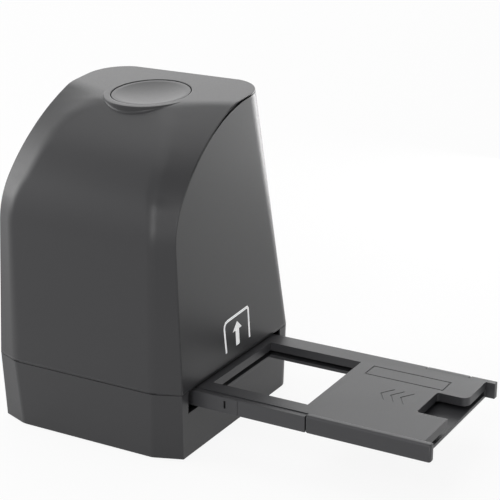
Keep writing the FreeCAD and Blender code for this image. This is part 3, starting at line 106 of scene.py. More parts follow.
@dataclass(frozen=True)
class NodeBench:
    """The nodes of one material or of the surround, with short ways to add the usual ones."""

    tree: bpy.types.NodeTree

    def add(self, kind: str, inputs: dict[str | int, Value] | None = None, output: str | int = 0,
            **settings: str) -> bpy.types.NodeSocket:
        """Add a node with its inputs and its settings.

        Args:
            kind: the node's type.
            inputs: its inputs by name or place, as for feed.
            output: the output that is wanted.
            settings: its own settings, such as its operation.

        Returns:
            That output.
        """
        node = self.tree.nodes.new(kind)
        for name, setting in settings.items():
            setattr(node, name, setting)
        self.feed(node, inputs or {})
        return node.outputs[output]

    def feed(self, node: bpy.types.Node, inputs: dict[str | int, Value]) -> None:
        """Set a node's inputs.

        Args:
            node: the node.
            inputs: for each input a number, a colour or the socket that works its value out.
        """
        for name, value in inputs.items():
            if isinstance(value, bpy.types.NodeSocket):
                self.tree.links.new(value, node.inputs[name])
            else:
                node.inputs[name].default_value = value

    def noise(self, place: Value, size: float, layers: float) -> bpy.types.NodeSocket:
        """Add a noise pattern from its coordinates, the size of its largest marks and its finer layers."""
        return self.add("ShaderNodeTexNoise",
                        {"Scale": 1.0 / (size * MM), "Detail": layers, "Vector": place}, "Fac")

    def ranged(self, value: Value, taken: tuple[float, float],
               given: tuple[float, float]) -> bpy.types.NodeSocket:
        """Map one range of a value onto another.

        Args:
            value: the value to map.
            taken: the range it is taken from.
            given: the range it is given.

        Returns:
            The mapped value.
        """
        names = ("From Min", "From Max", "To Min", "To Max", "Value")
        return self.add("ShaderNodeMapRange", dict(zip(names, (*taken, *given, value))), "Result")

    def mix(self, kind: MixKind, share: Value, first: Value, second: Value) -> bpy.types.NodeSocket:
        """Mix two values.

        Args:
            kind: whether they are numbers or colours.
            share: the share of the second one.
            first: the first value.
            second: the second value.

        Returns:
            The mixed value.
        """
        data_type, first_place, second_place, mixed_place = kind.value
        return self.add("ShaderNodeMix", {0: share, first_place: first, second_place: second},
                        mixed_place, data_type=data_type)

    def weighted(self, value: Value, weight: float, plus: Value = 0.0) -> bpy.types.NodeSocket:
        """Multiply a value by a weight and add another to it."""
        return self.add("ShaderNodeMath", dict(enumerate((value, weight, plus))),
                        operation="MULTIPLY_ADD")


@dataclass(frozen=True)
class Finish:
    """A surface finish: its record slot, its colour, the fine detail of its surface and any painted glow.
    """

    slot: str
    colour: tuple[float, float, float]
    roughness: float
    grain: float = 0.35
    relief: float = 0.012
    mottle: float = 0.06
    wear: float = 0.10
    metallic: float = 0.0
    specular: float = 0.5
    transmission: float = 0.0
    painted_glow: float = 0.0
    recorded: bool = True
    grain_layers: float = 4.0
    grain_range: tuple[float, float] = (0.3, 0.7)
    cloud: float = 50.0
    cloud_layers: float = 3.0
    gloss_swing: float = 0.05
    bump: float = 0.6
    worn_edge: tuple[float, float] = (0.52, 0.62)
    worn_gain: float = 2.2
    worn_lift: float = 0.03

    def shade(self, gain: float, lift: float = 0.0) -> tuple[float, ...]:
        """The finish's colour made lighter or darker, as red, green, blue and alpha."""
        return (*(min(1.0, part * gain + lift) for part in self.colour), 1.0)

    def build(self) -> bpy.types.Material:
        """Make the node material of this finish.

        Returns:
            The material, made once and then shared.
        """
        name = f"{self.slot}_finish"
        known = bpy.data.materials.get(name)
        if known:
            return known
        material = bpy.data.materials.new(name)
        material.use_nodes = True
        bench = NodeBench(material.node_tree)
        shader = bench.tree.nodes["Principled BSDF"]
        place = bench.add("ShaderNodeTexCoord", output="Object")
        cloud = bench.noise(place, self.cloud, self.cloud_layers)
        grain = bench.noise(place, self.grain, self.grain_layers)
        tone = bench.mix(MixKind.COLOUR, cloud, self.shade(1 - self.mottle), self.shade(1 + self.mottle))
        edges = bench.add("ShaderNodeNewGeometry", output="Pointiness")
        worn = bench.ranged(edges, self.worn_edge, (0.0, self.wear))
        gloss = (self.roughness - self.gloss_swing, self.roughness + self.gloss_swing)
        bump = {"Strength": self.bump, "Distance": self.relief * MM, "Height": grain}
        bench.feed(shader, {
            "Base Color": bench.mix(MixKind.COLOUR, worn, tone, self.shade(self.worn_gain, self.worn_lift)),
            "Metallic": self.metallic, "Specular IOR Level": self.specular,
            "Transmission Weight": self.transmission,
            "Roughness": bench.ranged(grain, self.grain_range, gloss),
            "Normal": bench.add("ShaderNodeBump", bump, "Normal")})
        # Painted glow: the surface gives off light of its own, though it is no lamp.
        if self.painted_glow:
            bench.feed(shader, {"Emission Color": (*self.colour, 1), "Emission Strength": self.painted_glow})
        return material


HOUSING = Finish("housing_plastic", (0.026, 0.026, 0.028), 0.38)
BUTTON = Finish("button_plastic", (0.026, 0.026, 0.028), 0.38)
TRAY = Finish("tray_plastic", (0.036, 0.036, 0.039), 0.42)
# The white print has a painted glow: it gives off a little light so it reads bright white, though it is no
# lamp.
PRINT = Finish("white_print", (0.90, 0.90, 0.90), 0.5, relief=0.003, mottle=0.02, wear=0.0, painted_glow=0.35,
               recorded=False)
BLACK = Finish("black_plastic", (0.016, 0.016, 0.017), 0.55)
WHITE = Finish("white_plastic", (0.80, 0.80, 0.78), 0.45, mottle=0.02, wear=0.0)
RUBBER = Finish("rubber", (0.020, 0.020, 0.021), 0.85, grain=0.5, relief=0.03)
SCREW = Finish("screw_steel", (0.56, 0.56, 0.57), 0.30, grain=0.2, relief=0.004, metallic=1.0)
SPRING = Finish("spring_steel", (0.62, 0.62, 0.63), 0.25, grain=0.2, relief=0.003, metallic=1.0)
SOCKET = Finish("socket_steel", (0.66, 0.66, 0.67), 0.28, grain=0.25, relief=0.004, metallic=1.0)
DARK_METAL = Finish("black_metal", (0.030, 0.030, 0.032), 0.40, grain=0.2, relief=0.004, metallic=0.6)
BOARD = Finish("board", (0.012, 0.090, 0.030), 0.38, grain=0.8, relief=0.02)
CHIP = Finish("chip", (0.014, 0.014, 0.015), 0.50, grain=0.25)
LAMP = Finish("lamp", (0.85, 0.82, 0.62), 0.30, mottle=0.03, wear=0.0)
DIFFUSER = Finish("diffuser", (0.86, 0.86, 0.85), 0.55, mottle=0.01, wear=0.0)
LENS = Finish("lens_glass", (0.90, 0.92, 0.96), 0.06, relief=0.0005, mottle=0.01, wear=0.0,
              transmission=0.95)
FILTER = Finish("filter_glass", (0.62, 0.86, 0.84), 0.08, relief=0.0005, mottle=0.01, wear=0.0,
                transmission=0.8)
RIBBON = Finish("flat_cable", (0.78, 0.79, 0.78), 0.40, grain=0.6, mottle=0.04)

INNER_FINISHES = {
    "housing_screws": SCREW, "guide_screws": SCREW, "tray_guide": BLACK, "detent_leaf": SPRING,
    "backlight_board": BOARD, "backlight_lamps": LAMP, "light_box": WHITE, "diffuser_plate": DIFFUSER,
    "optics_tunnel": BLACK, "tunnel_screws": SCREW, "lens_holder": BLACK, "camera_screws": SCREW,
    "lens_barrel": DARK_METAL, "lens_elements": LENS, "infrared_filter": FILTER, "image_sensor": CHIP,
    "sensor_board": BOARD, "main_board": BOARD, "main_board_screws": SCREW, "board_chips": CHIP,
    "sensor_cable": RIBBON, "button_cable": RIBBON, "backlight_cable": RIBBON, "push_switch": BLACK,
    "switch_plunger": WHITE, "button_board": BOARD, "button_board_screws": SCREW,
}


# Shared mesh work


@dataclass(frozen=True)
class PackedFrame:
    """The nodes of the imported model."""

    nodes: dict[str, bpy.types.Object]

    def copy(self, node: str) -> bmesh.types.BMesh:
        """Copy a node's mesh in millimetres, its triangles joined and its flat faces whole.

        Args:
            node: the node's name.

        Returns:
            The copy.
        """
        mesh = bmesh.new()
        mesh.from_mesh(self.nodes[node].data)
        bmesh.ops.scale(mesh, vec=(1 / MM, 1 / MM, 1 / MM), verts=mesh.verts)
        bmesh.ops.remove_doubles(mesh, verts=mesh.verts, dist=JOIN_DISTANCE)
        bmesh.ops.dissolve_limit(mesh, angle_limit=FLAT_ANGLE, verts=mesh.verts, edges=mesh.edges)
        return mesh

    def dress(self, node: str, finish: Finish) -> None:
        """Give a node that keeps its own mesh its finish.

        Args:
            node: the node's name.
            finish: what it is made of.
        """
        data = self.nodes[node].data
        data.materials.clear()
        data.materials.append(finish.build())
        LOG.info("%s: dressed as %s", node, finish.slot)


def publish(mesh: bmesh.types.BMesh, name: str, body: Body, finish: Finish,
            stands_for: Iterable[str] = ()) -> bpy.types.Object:
    """Turn a finished bmesh into a piece of the part.

    Args:
        mesh: the piece in millimetres; it is freed.
        name: the piece's name.
        body: the body it moves with.
        finish: what it is made of.
        stands_for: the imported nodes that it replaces.

    Returns:
        The piece's object.
    """
    bmesh.ops.scale(mesh, vec=(MM, MM, MM), verts=mesh.verts)
    data = bpy.data.meshes.new(name)
    mesh.to_mesh(data)
    mesh.free()
    data.polygons.foreach_set("use_smooth", [True] * len(data.polygons))
    data.set_sharp_from_angle(angle=SMOOTH_ANGLE)
    data.materials.append(finish.build())
    piece = bpy.data.objects.new(name, data)
    bpy.context.scene.collection.objects.link(piece)
    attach(piece, body.value)
    nodes = tuple(stands_for)
    if nodes:
        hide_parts(*nodes)
    LOG.info("%s: %d faces, rides on %s", name, len(data.polygons), body.value)
    return piece


def thicken(piece: bpy.types.Object, wall: float) -> None:
    """Give a skin its wall.

    Args:
        piece: the skin, whose faces point out of the part.
        wall: thickness inwards.
    """
    solid = piece.modifiers.new("wall", "SOLIDIFY")
    solid.thickness = wall * MM
    solid.offset = -1.0
    even_shading(piece)


def even_shading(piece: bpy.types.Object) -> None:
    """Let large faces keep their flat shading beside eased edges."""
    weighted = piece.modifiers.new("even_shading", "WEIGHTED_NORMAL")
    weighted.keep_sharp = True


def bevel_edges(mesh: bmesh.types.BMesh, edges: list[bmesh.types.BMEdge], width: float,
                segments: int = 2) -> None:
    """Round some edges of a mesh.

    Args:
        mesh: the mesh in millimetres.
        edges: the edges to round.
        width: how far the rounding reaches.
        segments: its faces across.
    """
    if edges:
        bmesh.ops.bevel(mesh, geom=edges, offset=width, offset_type="OFFSET", segments=segments,
                        profile=0.5, affect="EDGES", clamp_overlap=True, material=-1)


def sharp_edges(mesh: bmesh.types.BMesh, least: float = 40.0,
                chosen: Callable[[Vector], bool] = lambda middle: True) -> list[bmesh.types.BMEdge]:
    """Find the sharp edges of a mesh.

    Args:
        mesh: the mesh in millimetres.
        least: smallest angle between the faces, degrees.
        chosen: tells by an edge's middle whether it counts.

    Returns:
        The edges.
    """
    found = []
    for edge in mesh.edges:
        middle = (edge.verts[0].co + edge.verts[1].co) / 2
        if len(edge.link_faces) == 2 and edge.calc_face_angle(0.0) > math.radians(least) and chosen(middle):
            found.append(edge)
    return found


def upright(edge: bmesh.types.BMEdge, share: float = 0.95) -> bool:
    """Tell whether an edge rises by nearly its whole length."""
    along = edge.verts[1].co - edge.verts[0].co
    return abs(along.z) > share * along.length


def extend_border(mesh: bmesh.types.BMesh, edges: list[bmesh.types.BMEdge],
                  place: Callable[[Vector], Vector]) -> list[bmesh.types.BMEdge]:
    """Extrude open edges once and move the new ones.

    Args:
        mesh: the mesh in millimetres.
        edges: the open edges.
        place: gives a new vertex's place from its old one's.

    Returns:
        The new open edges.
    """
    made = bmesh.ops.extrude_edge_only(mesh, edges=edges)["geom"]
    for vertex in (item for item in made if isinstance(item, bmesh.types.BMVert)):
        vertex.co = place(vertex.co.copy())
    return [item for item in made if isinstance(item, bmesh.types.BMEdge) and item.is_boundary]


def steps(start: float, end: float, count: int) -> list[float]:
    """Evenly spaced values from a start to just before an end."""
    return [start + (end - start) * index / count for index in range(count)]


def smooth_step(share: float) -> float:
    """A share from 0 to 1 with a soft start and a soft end."""
    return share * share * (3 - 2 * share)


def blend_table(value: float, places: tuple[float, ...], shares: tuple[float, ...],
                softness: float = 0.3) -> float:
    """Read a table of shares between its places.

    Args:
        value: where to read.
        places: the table's places, rising.
        shares: the share at each place.
        softness: how far each passage is a soft step and not a straight line.

    Returns:
        The share there.
    """
    if value <= places[0]:
        return shares[0]
    for index in range(1, len(places)):
        if value <= places[index]:
            part = (value - places[index - 1]) / (places[index] - places[index - 1])
            part = smooth_step(part) * softness + part * (1 - softness)
            return shares[index - 1] + (shares[index] - shares[index - 1]) * part
    return shares[-1]


def soft_least(first: float, second: float, radius: float) -> float:
    """The smaller of two values, with a rounded passage from one to the other.

    Args:
        first: one value.
        second: the other.
        radius: how wide the passage is.

    Returns:
        The rounded smaller value.
    """
    near = max(radius - abs(first - second), 0.0) / radius
    return min(first, second) - near * near * radius / 4


# The housing


# Along the seam, how far the corner facet has spread inwards and how far its outer edge has risen
FACET_STATIONS = (1.0, 1.25, 1.5, 1.75, 2.0, 2.15, 2.3, 2.45, 2.6, 2.7, 2.8, 2.9, 3.0)
SPREAD_SHARES = (0.0, 0.01, 0.03, 0.07, 0.13, 0.18, 0.25, 0.36, 0.56, 0.76, 0.92, 1.0, 1.0)
LIFT_SHARES = (0.0, 0.0, 0.0, 0.0, 0.0, 0.02, 0.06, 0.13, 0.25, 0.38, 0.56, 0.78, 1.0)


@dataclass(frozen=True)
class HousingForm:
    """The outer form of the upper housing: its side seam, its front corner facets and its flat top.

    A station is a place along the side seam: 0 at the split line, 1 where the straight rise ends, 2 at
    the crown and 3 where the flat top starts. Past 3 it grows by 1 for each flat_run of the top.
    """

    split: float = 28.5
    half_width: float = 44.0
    side_lean: float = 2.5
    seam_front: float = 42.2
    front_lean: float = 0.9
    front_rise: float = 57.9
    shoulder_radius: float = 29.7
    shoulder_turn: float = 37.3
    crown_radius: float = 78.7
    top_tilt: float = 5.0
    flat_run: float = 100.0
    seam_drop: float = 0.8
    facet_depth: float = 4.5
    facet_width: float = 10.7
    facet_spread: float = 30.0
    facet_lift: float = 3.2
    back_reach: float = 48.9
    back_lean: float = 7.1
    corner_radius: float = 8.0
    corner_growth: float = 8.0
    crown_height: float = 107.5
    half_gap: float = 0.08
    button_along: float = 7.7
    facet_softness: float = 1.1
    brow_softness: float = 0.9
    steep_share: float = 0.2
    out_of_reach: float = 1000.0

    def headings(self) -> tuple[float, float, float]:
        """The seam's headings on its straight rise, at the crown and on the flat top, in radians."""
        lean = math.radians(90 - self.front_lean)
        return lean, lean - math.radians(self.shoulder_turn), math.radians(self.top_tilt)

    def seam(self, station: float) -> tuple[Vector, Vector]:
        """A point on the side seam, and the way out of the housing there.

        Args:
            station: the place along the seam.

        Returns:
            The point and the outward unit vector, both in the YZ plane.
        """
        lean, crown, top = self.headings()
        low = Vector((0, -self.seam_front, self.split))
        shoulder = low + Vector((0, math.cos(lean), math.sin(lean))) * (self.front_rise / math.sin(lean))
        if station <= 1:
            point, heading = low.lerp(shoulder, station), lean
        elif station <= 2:
            heading = lean + (crown - lean) * (station - 1)
            point = self._bend(shoulder, self.shoulder_radius, lean, heading)
        else:
            start = self._bend(shoulder, self.shoulder_radius, lean, crown)
            heading = crown + (top - crown) * min(station - 2, 1.0)
            point = self._bend(start, self.crown_radius, crown, heading)
            if station > 3:
                point = point + Vector((0, math.cos(top), math.sin(top))) * (station - 3) * self.flat_run
        return point, Vector((0, -math.sin(heading), math.cos(heading)))

    @staticmethod
    def _bend(start: Vector, radius: float, heading: float, turned: float) -> Vector:
        """The point on a bend where its heading has turned from one angle to another."""
        centre = start + Vector((0, math.sin(heading), -math.cos(heading))) * radius
        return centre + Vector((0, -math.sin(turned), math.cos(turned))) * radius

    def side_at(self, height: float) -> float:
        """Half the outer width at a height above the floor."""
        return self.half_width - math.tan(math.radians(self.side_lean)) * (height - self.split)

    def back_at(self, height: float) -> float:
        """Where the outer back is at a height above the floor."""
        return self.back_reach - math.tan(math.radians(self.back_lean)) * (height - self.split)

    def corner_at(self, height: float) -> float:
        """Radius of the back corners at a height above the floor."""
        return self.corner_radius + self.corner_growth * (height - self.split) / self.crown_height

    def top_offset(self, station: float) -> float:
        """How far the flat top is from the seam, measured along the way out.

        Args:
            station: the place along the seam.

        Returns:
            The distance, or one out of reach where the way out hardly rises.
        """
        point, out = self.seam(station)
        end, up = self.seam(3)
        room = (end + up * self.seam_drop - point).dot(up)
        lean = out.dot(up)
        return room / lean if lean > self.steep_share else self.out_of_reach

    def offset(self, x: float, station: float) -> float:
        """How far the front cover stands off the seam at a place across the housing.

        Args:
            x: the place across the housing.
            station: the place along the seam.

        Returns:
            The distance along the way out.
        """
        point, _ = self.seam(station)
        side = self.side_at(point.z)
        spread = blend_table(station, FACET_STATIONS, SPREAD_SHARES)
        lift = blend_table(station, FACET_STATIONS, LIFT_SHARES) * self.facet_lift
        inner = self.half_width - self.facet_width - self.facet_spread * spread
        slope = (self.facet_depth - lift) / (side - inner)
        facet = lift + (side - abs(x)) * slope
        front = soft_least(self.facet_depth, facet, self.facet_softness)
        return soft_least(front, self.top_offset(station), self.brow_softness)

    def button_frame(self) -> Matrix:
        """The button's own frame: its origin on the flat top, its Z square to the top.

        Returns:
            The frame as a matrix.
        """
        end, up = self.seam(3)
        above = end + up * self.seam_drop
        tilt = math.radians(self.top_tilt)
        top = Vector((0, math.cos(tilt), math.sin(tilt)))
        centre = above + top * (self.button_along - above.y) / math.cos(tilt)
        return Matrix.Translation(centre) @ Matrix.Rotation(tilt, 4, "X")

    def outline_half(self, y: float, height: float) -> float:
        """Half the width at a place along Y, with the rounded back corners.

        Args:
            y: the place from front to back.
            height: the height above the floor.

        Returns:
            Half the width.
        """
        side = self.side_at(height)
        radius = self.corner_at(height)
        past = y - (self.back_at(height) - radius)
        if past <= 0:
            return side
        return side - radius + math.sqrt(max(radius * radius - past * past, 0.0))


@dataclass
class ButtonCollar:
    """The round hole in the flat top, and the collar that stands out of the falling front about it."""

    form: HousingForm
    hole_radius: float = 16.5
    collar_radius: float = 19.3
    patch_radius: float = 24.0
    bore_depth: float = 6.5
    foot_round: float = 1.0
    rim_round: float = 0.28
    hole_round: float = 0.12
    face_rings: tuple[float, ...] = (23.0, 22.2, 21.5, 21.0, 20.6, 20.3)
    foot_turns: tuple[float, ...] = (22.5, 45.0, 67.5, 90.0)
    rim_turns: tuple[float, ...] = (0.0, 30.0, 60.0, 90.0)
    top_rings: tuple[float, ...] = (18.2, 17.2)
    round_share: float = 0.45
    loop_reach: float = 3.0
    joined_reach: float = 0.5
    joined: float = 0.08
    key_steps: int = 20000
    probe: tuple[float, float] = (1.0, 3.3)
    probe_rounds: int = 34
    heights: dict[tuple[int, float], float] = field(default_factory=dict)

    def __post_init__(self) -> None:
        """Work the button's frame out once."""
        self.frame = self.form.button_frame()
        self.inverse = self.frame.inverted()

    def radius_of(self, point: Vector) -> float:
        """Distance from the button's axis."""
        local = self.inverse @ point
        return math.hypot(local.x, local.y)

    def face_level(self, x: float, along: float) -> float:
        """How far the outer face is above the flat top's plane, over a place on that plane.

        Args:
            x: the place across, in the button's frame.
            along: the place along, in the button's frame.

        Returns:
            The height, zero or less.
        """
        low, high = self.probe
        for _ in range(self.probe_rounds):
            middle = (low + high) / 2
            point, out = self.form.seam(middle)
            stand = self.form.offset(x, min(middle, 3.0))
            local = self.inverse @ (point + out * stand + Vector((x, 0, 0)))
            if local.y < along:
                low = middle
            else:
                high = middle
        return min(local.z, 0.0)

    def around(self, point: Vector, radius: float, level: float | None = None) -> Vector:
        """A point at the same turn about the button's axis as another.

        Args:
            point: the other point.
            radius: distance from the axis.
            level: height in the button's frame, or None for the height of the outer face there.

        Returns:
            The point.
        """
        local = self.inverse @ point
        turn = math.atan2(local.y, local.x)
        x, y = radius * math.cos(turn), radius * math.sin(turn)
        if level is None:
            key = (round(turn * self.key_steps), radius)
            if key not in self.heights:
                self.heights[key] = self.face_level(x, y)
            level = self.heights[key]
        return self.frame @ Vector((x, y, level))

    def on_round(self, point: Vector, turn: float, foot: bool) -> Vector:
        """A point on the rounded foot of the collar's wall, or on its rounded rim.

        Args:
            point: a point at the same turn about the axis.
            turn: how far round the quarter circle it is, degrees.
            foot: whether it is on the foot.

        Returns:
            The point.
        """
        rise, run = math.sin(math.radians(turn)), math.cos(math.radians(turn))
        drop = -(self.inverse @ self.around(point, self.collar_radius + self.foot_round)).z
        width = self.foot_round if foot else self.rim_round
        reach = min(width, self.round_share * drop)
        if foot:
            level = min(reach * (1 - run) - drop, 0.0)
            return self.around(point, self.collar_radius + width * (1 - rise), level)
        return self.around(point, self.collar_radius - width * (1 - run), -reach * (1 - rise))

    def open_edges(self, mesh: bmesh.types.BMesh, reach: float) -> list[bmesh.types.BMEdge]:
        """Find the open edges about the hole, up to a reach past the cut."""
        furthest = self.patch_radius + reach
        return [edge for edge in mesh.edges if edge.is_boundary
                and max(self.radius_of(vertex.co) for vertex in edge.verts) < furthest]

    def cut(self, mesh: bmesh.types.BMesh) -> None:
        """Cut the round hole and carry the face over the collar's foot, wall and rim into the bore.

        Args:
            mesh: the cover's mesh.
        """
        gone = [face for face in mesh.faces
                if self.radius_of(face.calc_center_median()) < self.patch_radius]
        bmesh.ops.delete(mesh, geom=gone, context="FACES")
        loop = self.open_edges(mesh, self.loop_reach)
        verts = list({vertex for edge in loop for vertex in edge.verts})
        for vertex in verts:
            vertex.co = self.around(vertex.co, self.patch_radius)
        bmesh.ops.remove_doubles(mesh, verts=verts, dist=self.joined)
        loop = self.open_edges(mesh, self.joined_reach)
        places = [partial(self.around, radius=radius) for radius in self.face_rings]
        places += [partial(self.on_round, turn=turn, foot=True) for turn in self.foot_turns]
        places += [partial(self.on_round, turn=turn, foot=False) for turn in self.rim_turns]
        places += [partial(self.around, radius=radius, level=0.0)
                   for radius in (*self.top_rings, self.hole_radius + self.hole_round)]
        places += [partial(self.around, radius=self.hole_radius, level=-depth)
                   for depth in (self.hole_round, self.bore_depth)]
        for place in places:
            loop = extend_border(mesh, loop, place)


@dataclass
class FrontCover:
    """The curved front cover with its facets, its flat top and the collar about the button."""

    form: HousingForm
    wall: float = 1.8
    columns: int = 116
    row_height: float = 0.85
    rise_row_share: float = 1.6
    top_row_share: float = 1.4
    edge_crowding: float = 0.38
    edge_round: float = 0.25
    back_edge_share: float = 1.6
    back_probe: float = 2.0
    rim_least: float = 0.5

    def build(self) -> None:
        """Build the cover."""
        stations = self.stations()
        mesh = bmesh.new()
        bmesh.ops.create_grid(mesh, x_segments=self.columns, y_segments=len(stations) - 1, size=1.0)
        for vertex in mesh.verts:
            row = round((vertex.co.y + 1) / 2 * (len(stations) - 1))
            vertex.co = self.surface(vertex.co.x, stations[row])
        border = [edge for edge in mesh.edges if edge.is_boundary]
        ButtonCollar(self.form).cut(mesh)
        self.turn_down(mesh, border)
        thicken(publish(mesh, "front_cover_skin", Body.HOUSING, HOUSING, ["front_cover"]), self.wall)

    def stations(self) -> list[float]:
        """The rows of the cover, from the split line over the crown to the back of the flat top.

        Returns:
            Their stations on the seam.
        """
        form = self.form
        lean, crown, top = form.headings()
        shoulder_length = form.shoulder_radius * (lean - crown)
        crown_length = form.crown_radius * (crown - top)
        end, _ = form.seam(3)
        top_length = (form.back_at(end.z + self.back_probe) - end.y) / math.cos(top)
        low = form.half_gap / form.front_rise * 2
        rows = steps(low, 1.0, round(form.front_rise / self.row_height / self.rise_row_share))
        rows += steps(1.0, 2.0, round(shoulder_length / self.row_height))
        rows += steps(2.0, 3.0, round(crown_length / self.row_height))
        count = round(top_length / self.row_height * self.top_row_share)
        flat = top_length / form.flat_run
        rows += [3 + flat * math.sin(math.pi / 2 * index / count) for index in range(count + 1)]
        return rows

    def surface(self, share: float, station: float) -> Vector:
        """A point of the cover's outer face.

        Args:
            share: the place across, from -1 at the left border to 1 at the right one.
            station: the place along the seam.

        Returns:
            The point.
        """
        form = self.form
        point, out = form.seam(station)
        top = point + out * form.seam_drop
        half = form.side_at(point.z) if station <= 3 else form.outline_half(top.y, top.z)
        x = half * share * (1 + self.edge_crowding * (1 - share * share))
        border = half - abs(x)
        if station > 3:
            border = min(border, max(form.back_at(top.z) - top.y, 0.0) * self.back_edge_share)
        offset = form.offset(min(abs(x), half), min(station, 3.0))
        ease = self.edge_round
        if border < ease:
            offset -= ease - math.sqrt(ease * ease - (ease - border) ** 2)
        return point + out * max(offset, form.half_gap) + Vector((x, 0, 0))

    def turn_down(self, mesh: bmesh.types.BMesh, border: list[bmesh.types.BMEdge]) -> None:
        """Carry the rim of the flat top down to the seam.

        Args:
            mesh: the cover's mesh.
            border: its outer open edges.
        """
        form = self.form
        end, up = form.seam(3)
        low = form.split + form.half_gap * 2 + self.rim_least
        edges = [edge for edge in border if edge.is_valid and edge.is_boundary]
        edges = [edge for edge in edges if max(vertex.co.z for vertex in edge.verts) > low]

        def down(point: Vector) -> Vector:
            """The place on the seam's level below a point of the rim, or the point itself in front."""
            above = (point - end).dot(up) - form.half_gap
            return point if point.y < end.y else point - up * above

        extend_border(mesh, edges, down)
        bmesh.ops.remove_doubles(mesh, verts=mesh.verts, dist=JOIN_DISTANCE)


@dataclass
class RearCover:
    """The side panels and the back, in one U-shaped cover.

    Its columns count from the right seam: 0 to 1 the right side, to 2 a corner, to 3 the back, to 4 the
    other corner, to 5 the left side.
    """

    form: HousingForm
    wall: float = 2.0
    socket_half: float = 6.3
    socket_low: float = 39.7
    socket_high: float = 51.3
    socket_front: float = 30.0
    back_half: float = 32.0
    middle: float = 2.5
    side_columns: int = 40
    side_crowding: float = 1.25
    corner_columns: int = 14
    back_columns: int = 10
    socket_columns: int = 12
    socket_rows: int = 8
    bend_rows: int = 24
    crown_rows: int = 72
    settle_rounds: int = 4

    def build(self) -> None:
        """Build the cover."""
        rows = self.rows()
        columns = self.columns()
        mesh = bmesh.new()
        bmesh.ops.create_grid(mesh, x_segments=len(columns) - 1, y_segments=len(rows) - 1, size=1.0)
        for vertex in mesh.verts:
            column = round((vertex.co.x + 1) / 2 * (len(columns) - 1))
            row = round((vertex.co.y + 1) / 2 * (len(rows) - 1))
            vertex.co = self.surface(columns[column], rows[row])
        gone = [face for face in mesh.faces if self.in_socket(face.calc_center_median())]
        bmesh.ops.delete(mesh, geom=gone, context="FACES")
        thicken(publish(mesh, "rear_cover_skin", Body.HOUSING, HOUSING, ["rear_cover"]), self.wall)

    def in_socket(self, middle: Vector) -> bool:
        """Tell whether a face lies in the data socket's opening."""
        return (middle.y > self.socket_front and abs(middle.x) < self.socket_half
                and self.socket_low < middle.z < self.socket_high)

    def rows(self) -> list[float]:
        """The stations of the rows, with rows along the socket's edges.

        Returns:
            The stations.
        """
        form = self.form
        levels = (form.half_gap * 2, self.socket_low - form.split, self.socket_high - form.split)
        low, socket, above = (level / form.front_rise for level in levels)
        rows = steps(low, socket, self.socket_rows) + steps(socket, above, self.socket_rows)
        rows += steps(above, 1.0, self.bend_rows) + steps(1.0, 2.0, self.bend_rows)
        return rows + steps(2.0, 3.0, self.crown_rows) + [3.0]

    def socket_column(self) -> float:
        """The column along the right edge of the socket."""
        return self.middle - 0.5 * self.socket_half / self.back_half

    def columns(self) -> list[float]:
        """The places of the columns, crowded towards the seams.

        Returns:
            The columns.
        """
        near = self.socket_column()
        far = 2 * self.middle - near
        right = [math.pow(index / self.side_columns, self.side_crowding)
                 for index in range(self.side_columns)]
        right += steps(1.0, 2.0, self.corner_columns) + steps(2.0, near, self.back_columns)
        left = [2 * self.middle - column for column in reversed(right)]
        return right + steps(near, far, self.socket_columns) + [far] + left

    def surface(self, column: float, station: float) -> Vector:
        """A point of the cover's outer face.

        Args:
            column: the place round the cover.
            station: the row's station on the seam.

        Returns:
            The point.
        """
        form = self.form
        point, out = form.seam(station)
        start = point - out * form.half_gap
        rise = max(station - 1, 0.0) / 2
        slope = math.tan(math.radians(form.top_tilt)) * smooth_step(rise)
        side = Side.RIGHT if column <= self.middle else Side.LEFT
        turned = min(column, 2 * self.middle - column)
        height = start.z
        for _ in range(self.settle_rounds):
            radius = form.corner_at(height)
            back = form.back_at(height)
            half = form.side_at(height)
            if turned <= 1:
                x = half
                y = start.y + (back - radius - start.y) * turned
            elif turned <= 2:
                angle = math.pi / 2 * (turned - 1)
                x = half - radius + radius * math.cos(angle)
                y = back - radius + radius * math.sin(angle)
            else:
                x = self.back_place(turned, half - radius)
                y = back
            height = start.z + slope * (y - start.y)
        return Vector((x * side, y, height))

    def back_place(self, turned: float, half: float) -> float:
        """Where a column of the back is across it, with one along each edge of the socket.

        Args:
            turned: the column, counted from the nearer seam.
            half: half the width of the back's flat stretch.

        Returns:
            The distance from the middle.
        """
        near = self.socket_column()
        if turned <= near:
            return half + (self.socket_half - half) * (turned - 2) / (near - 2)
        return self.socket_half * (self.middle - turned) / (self.middle - near)


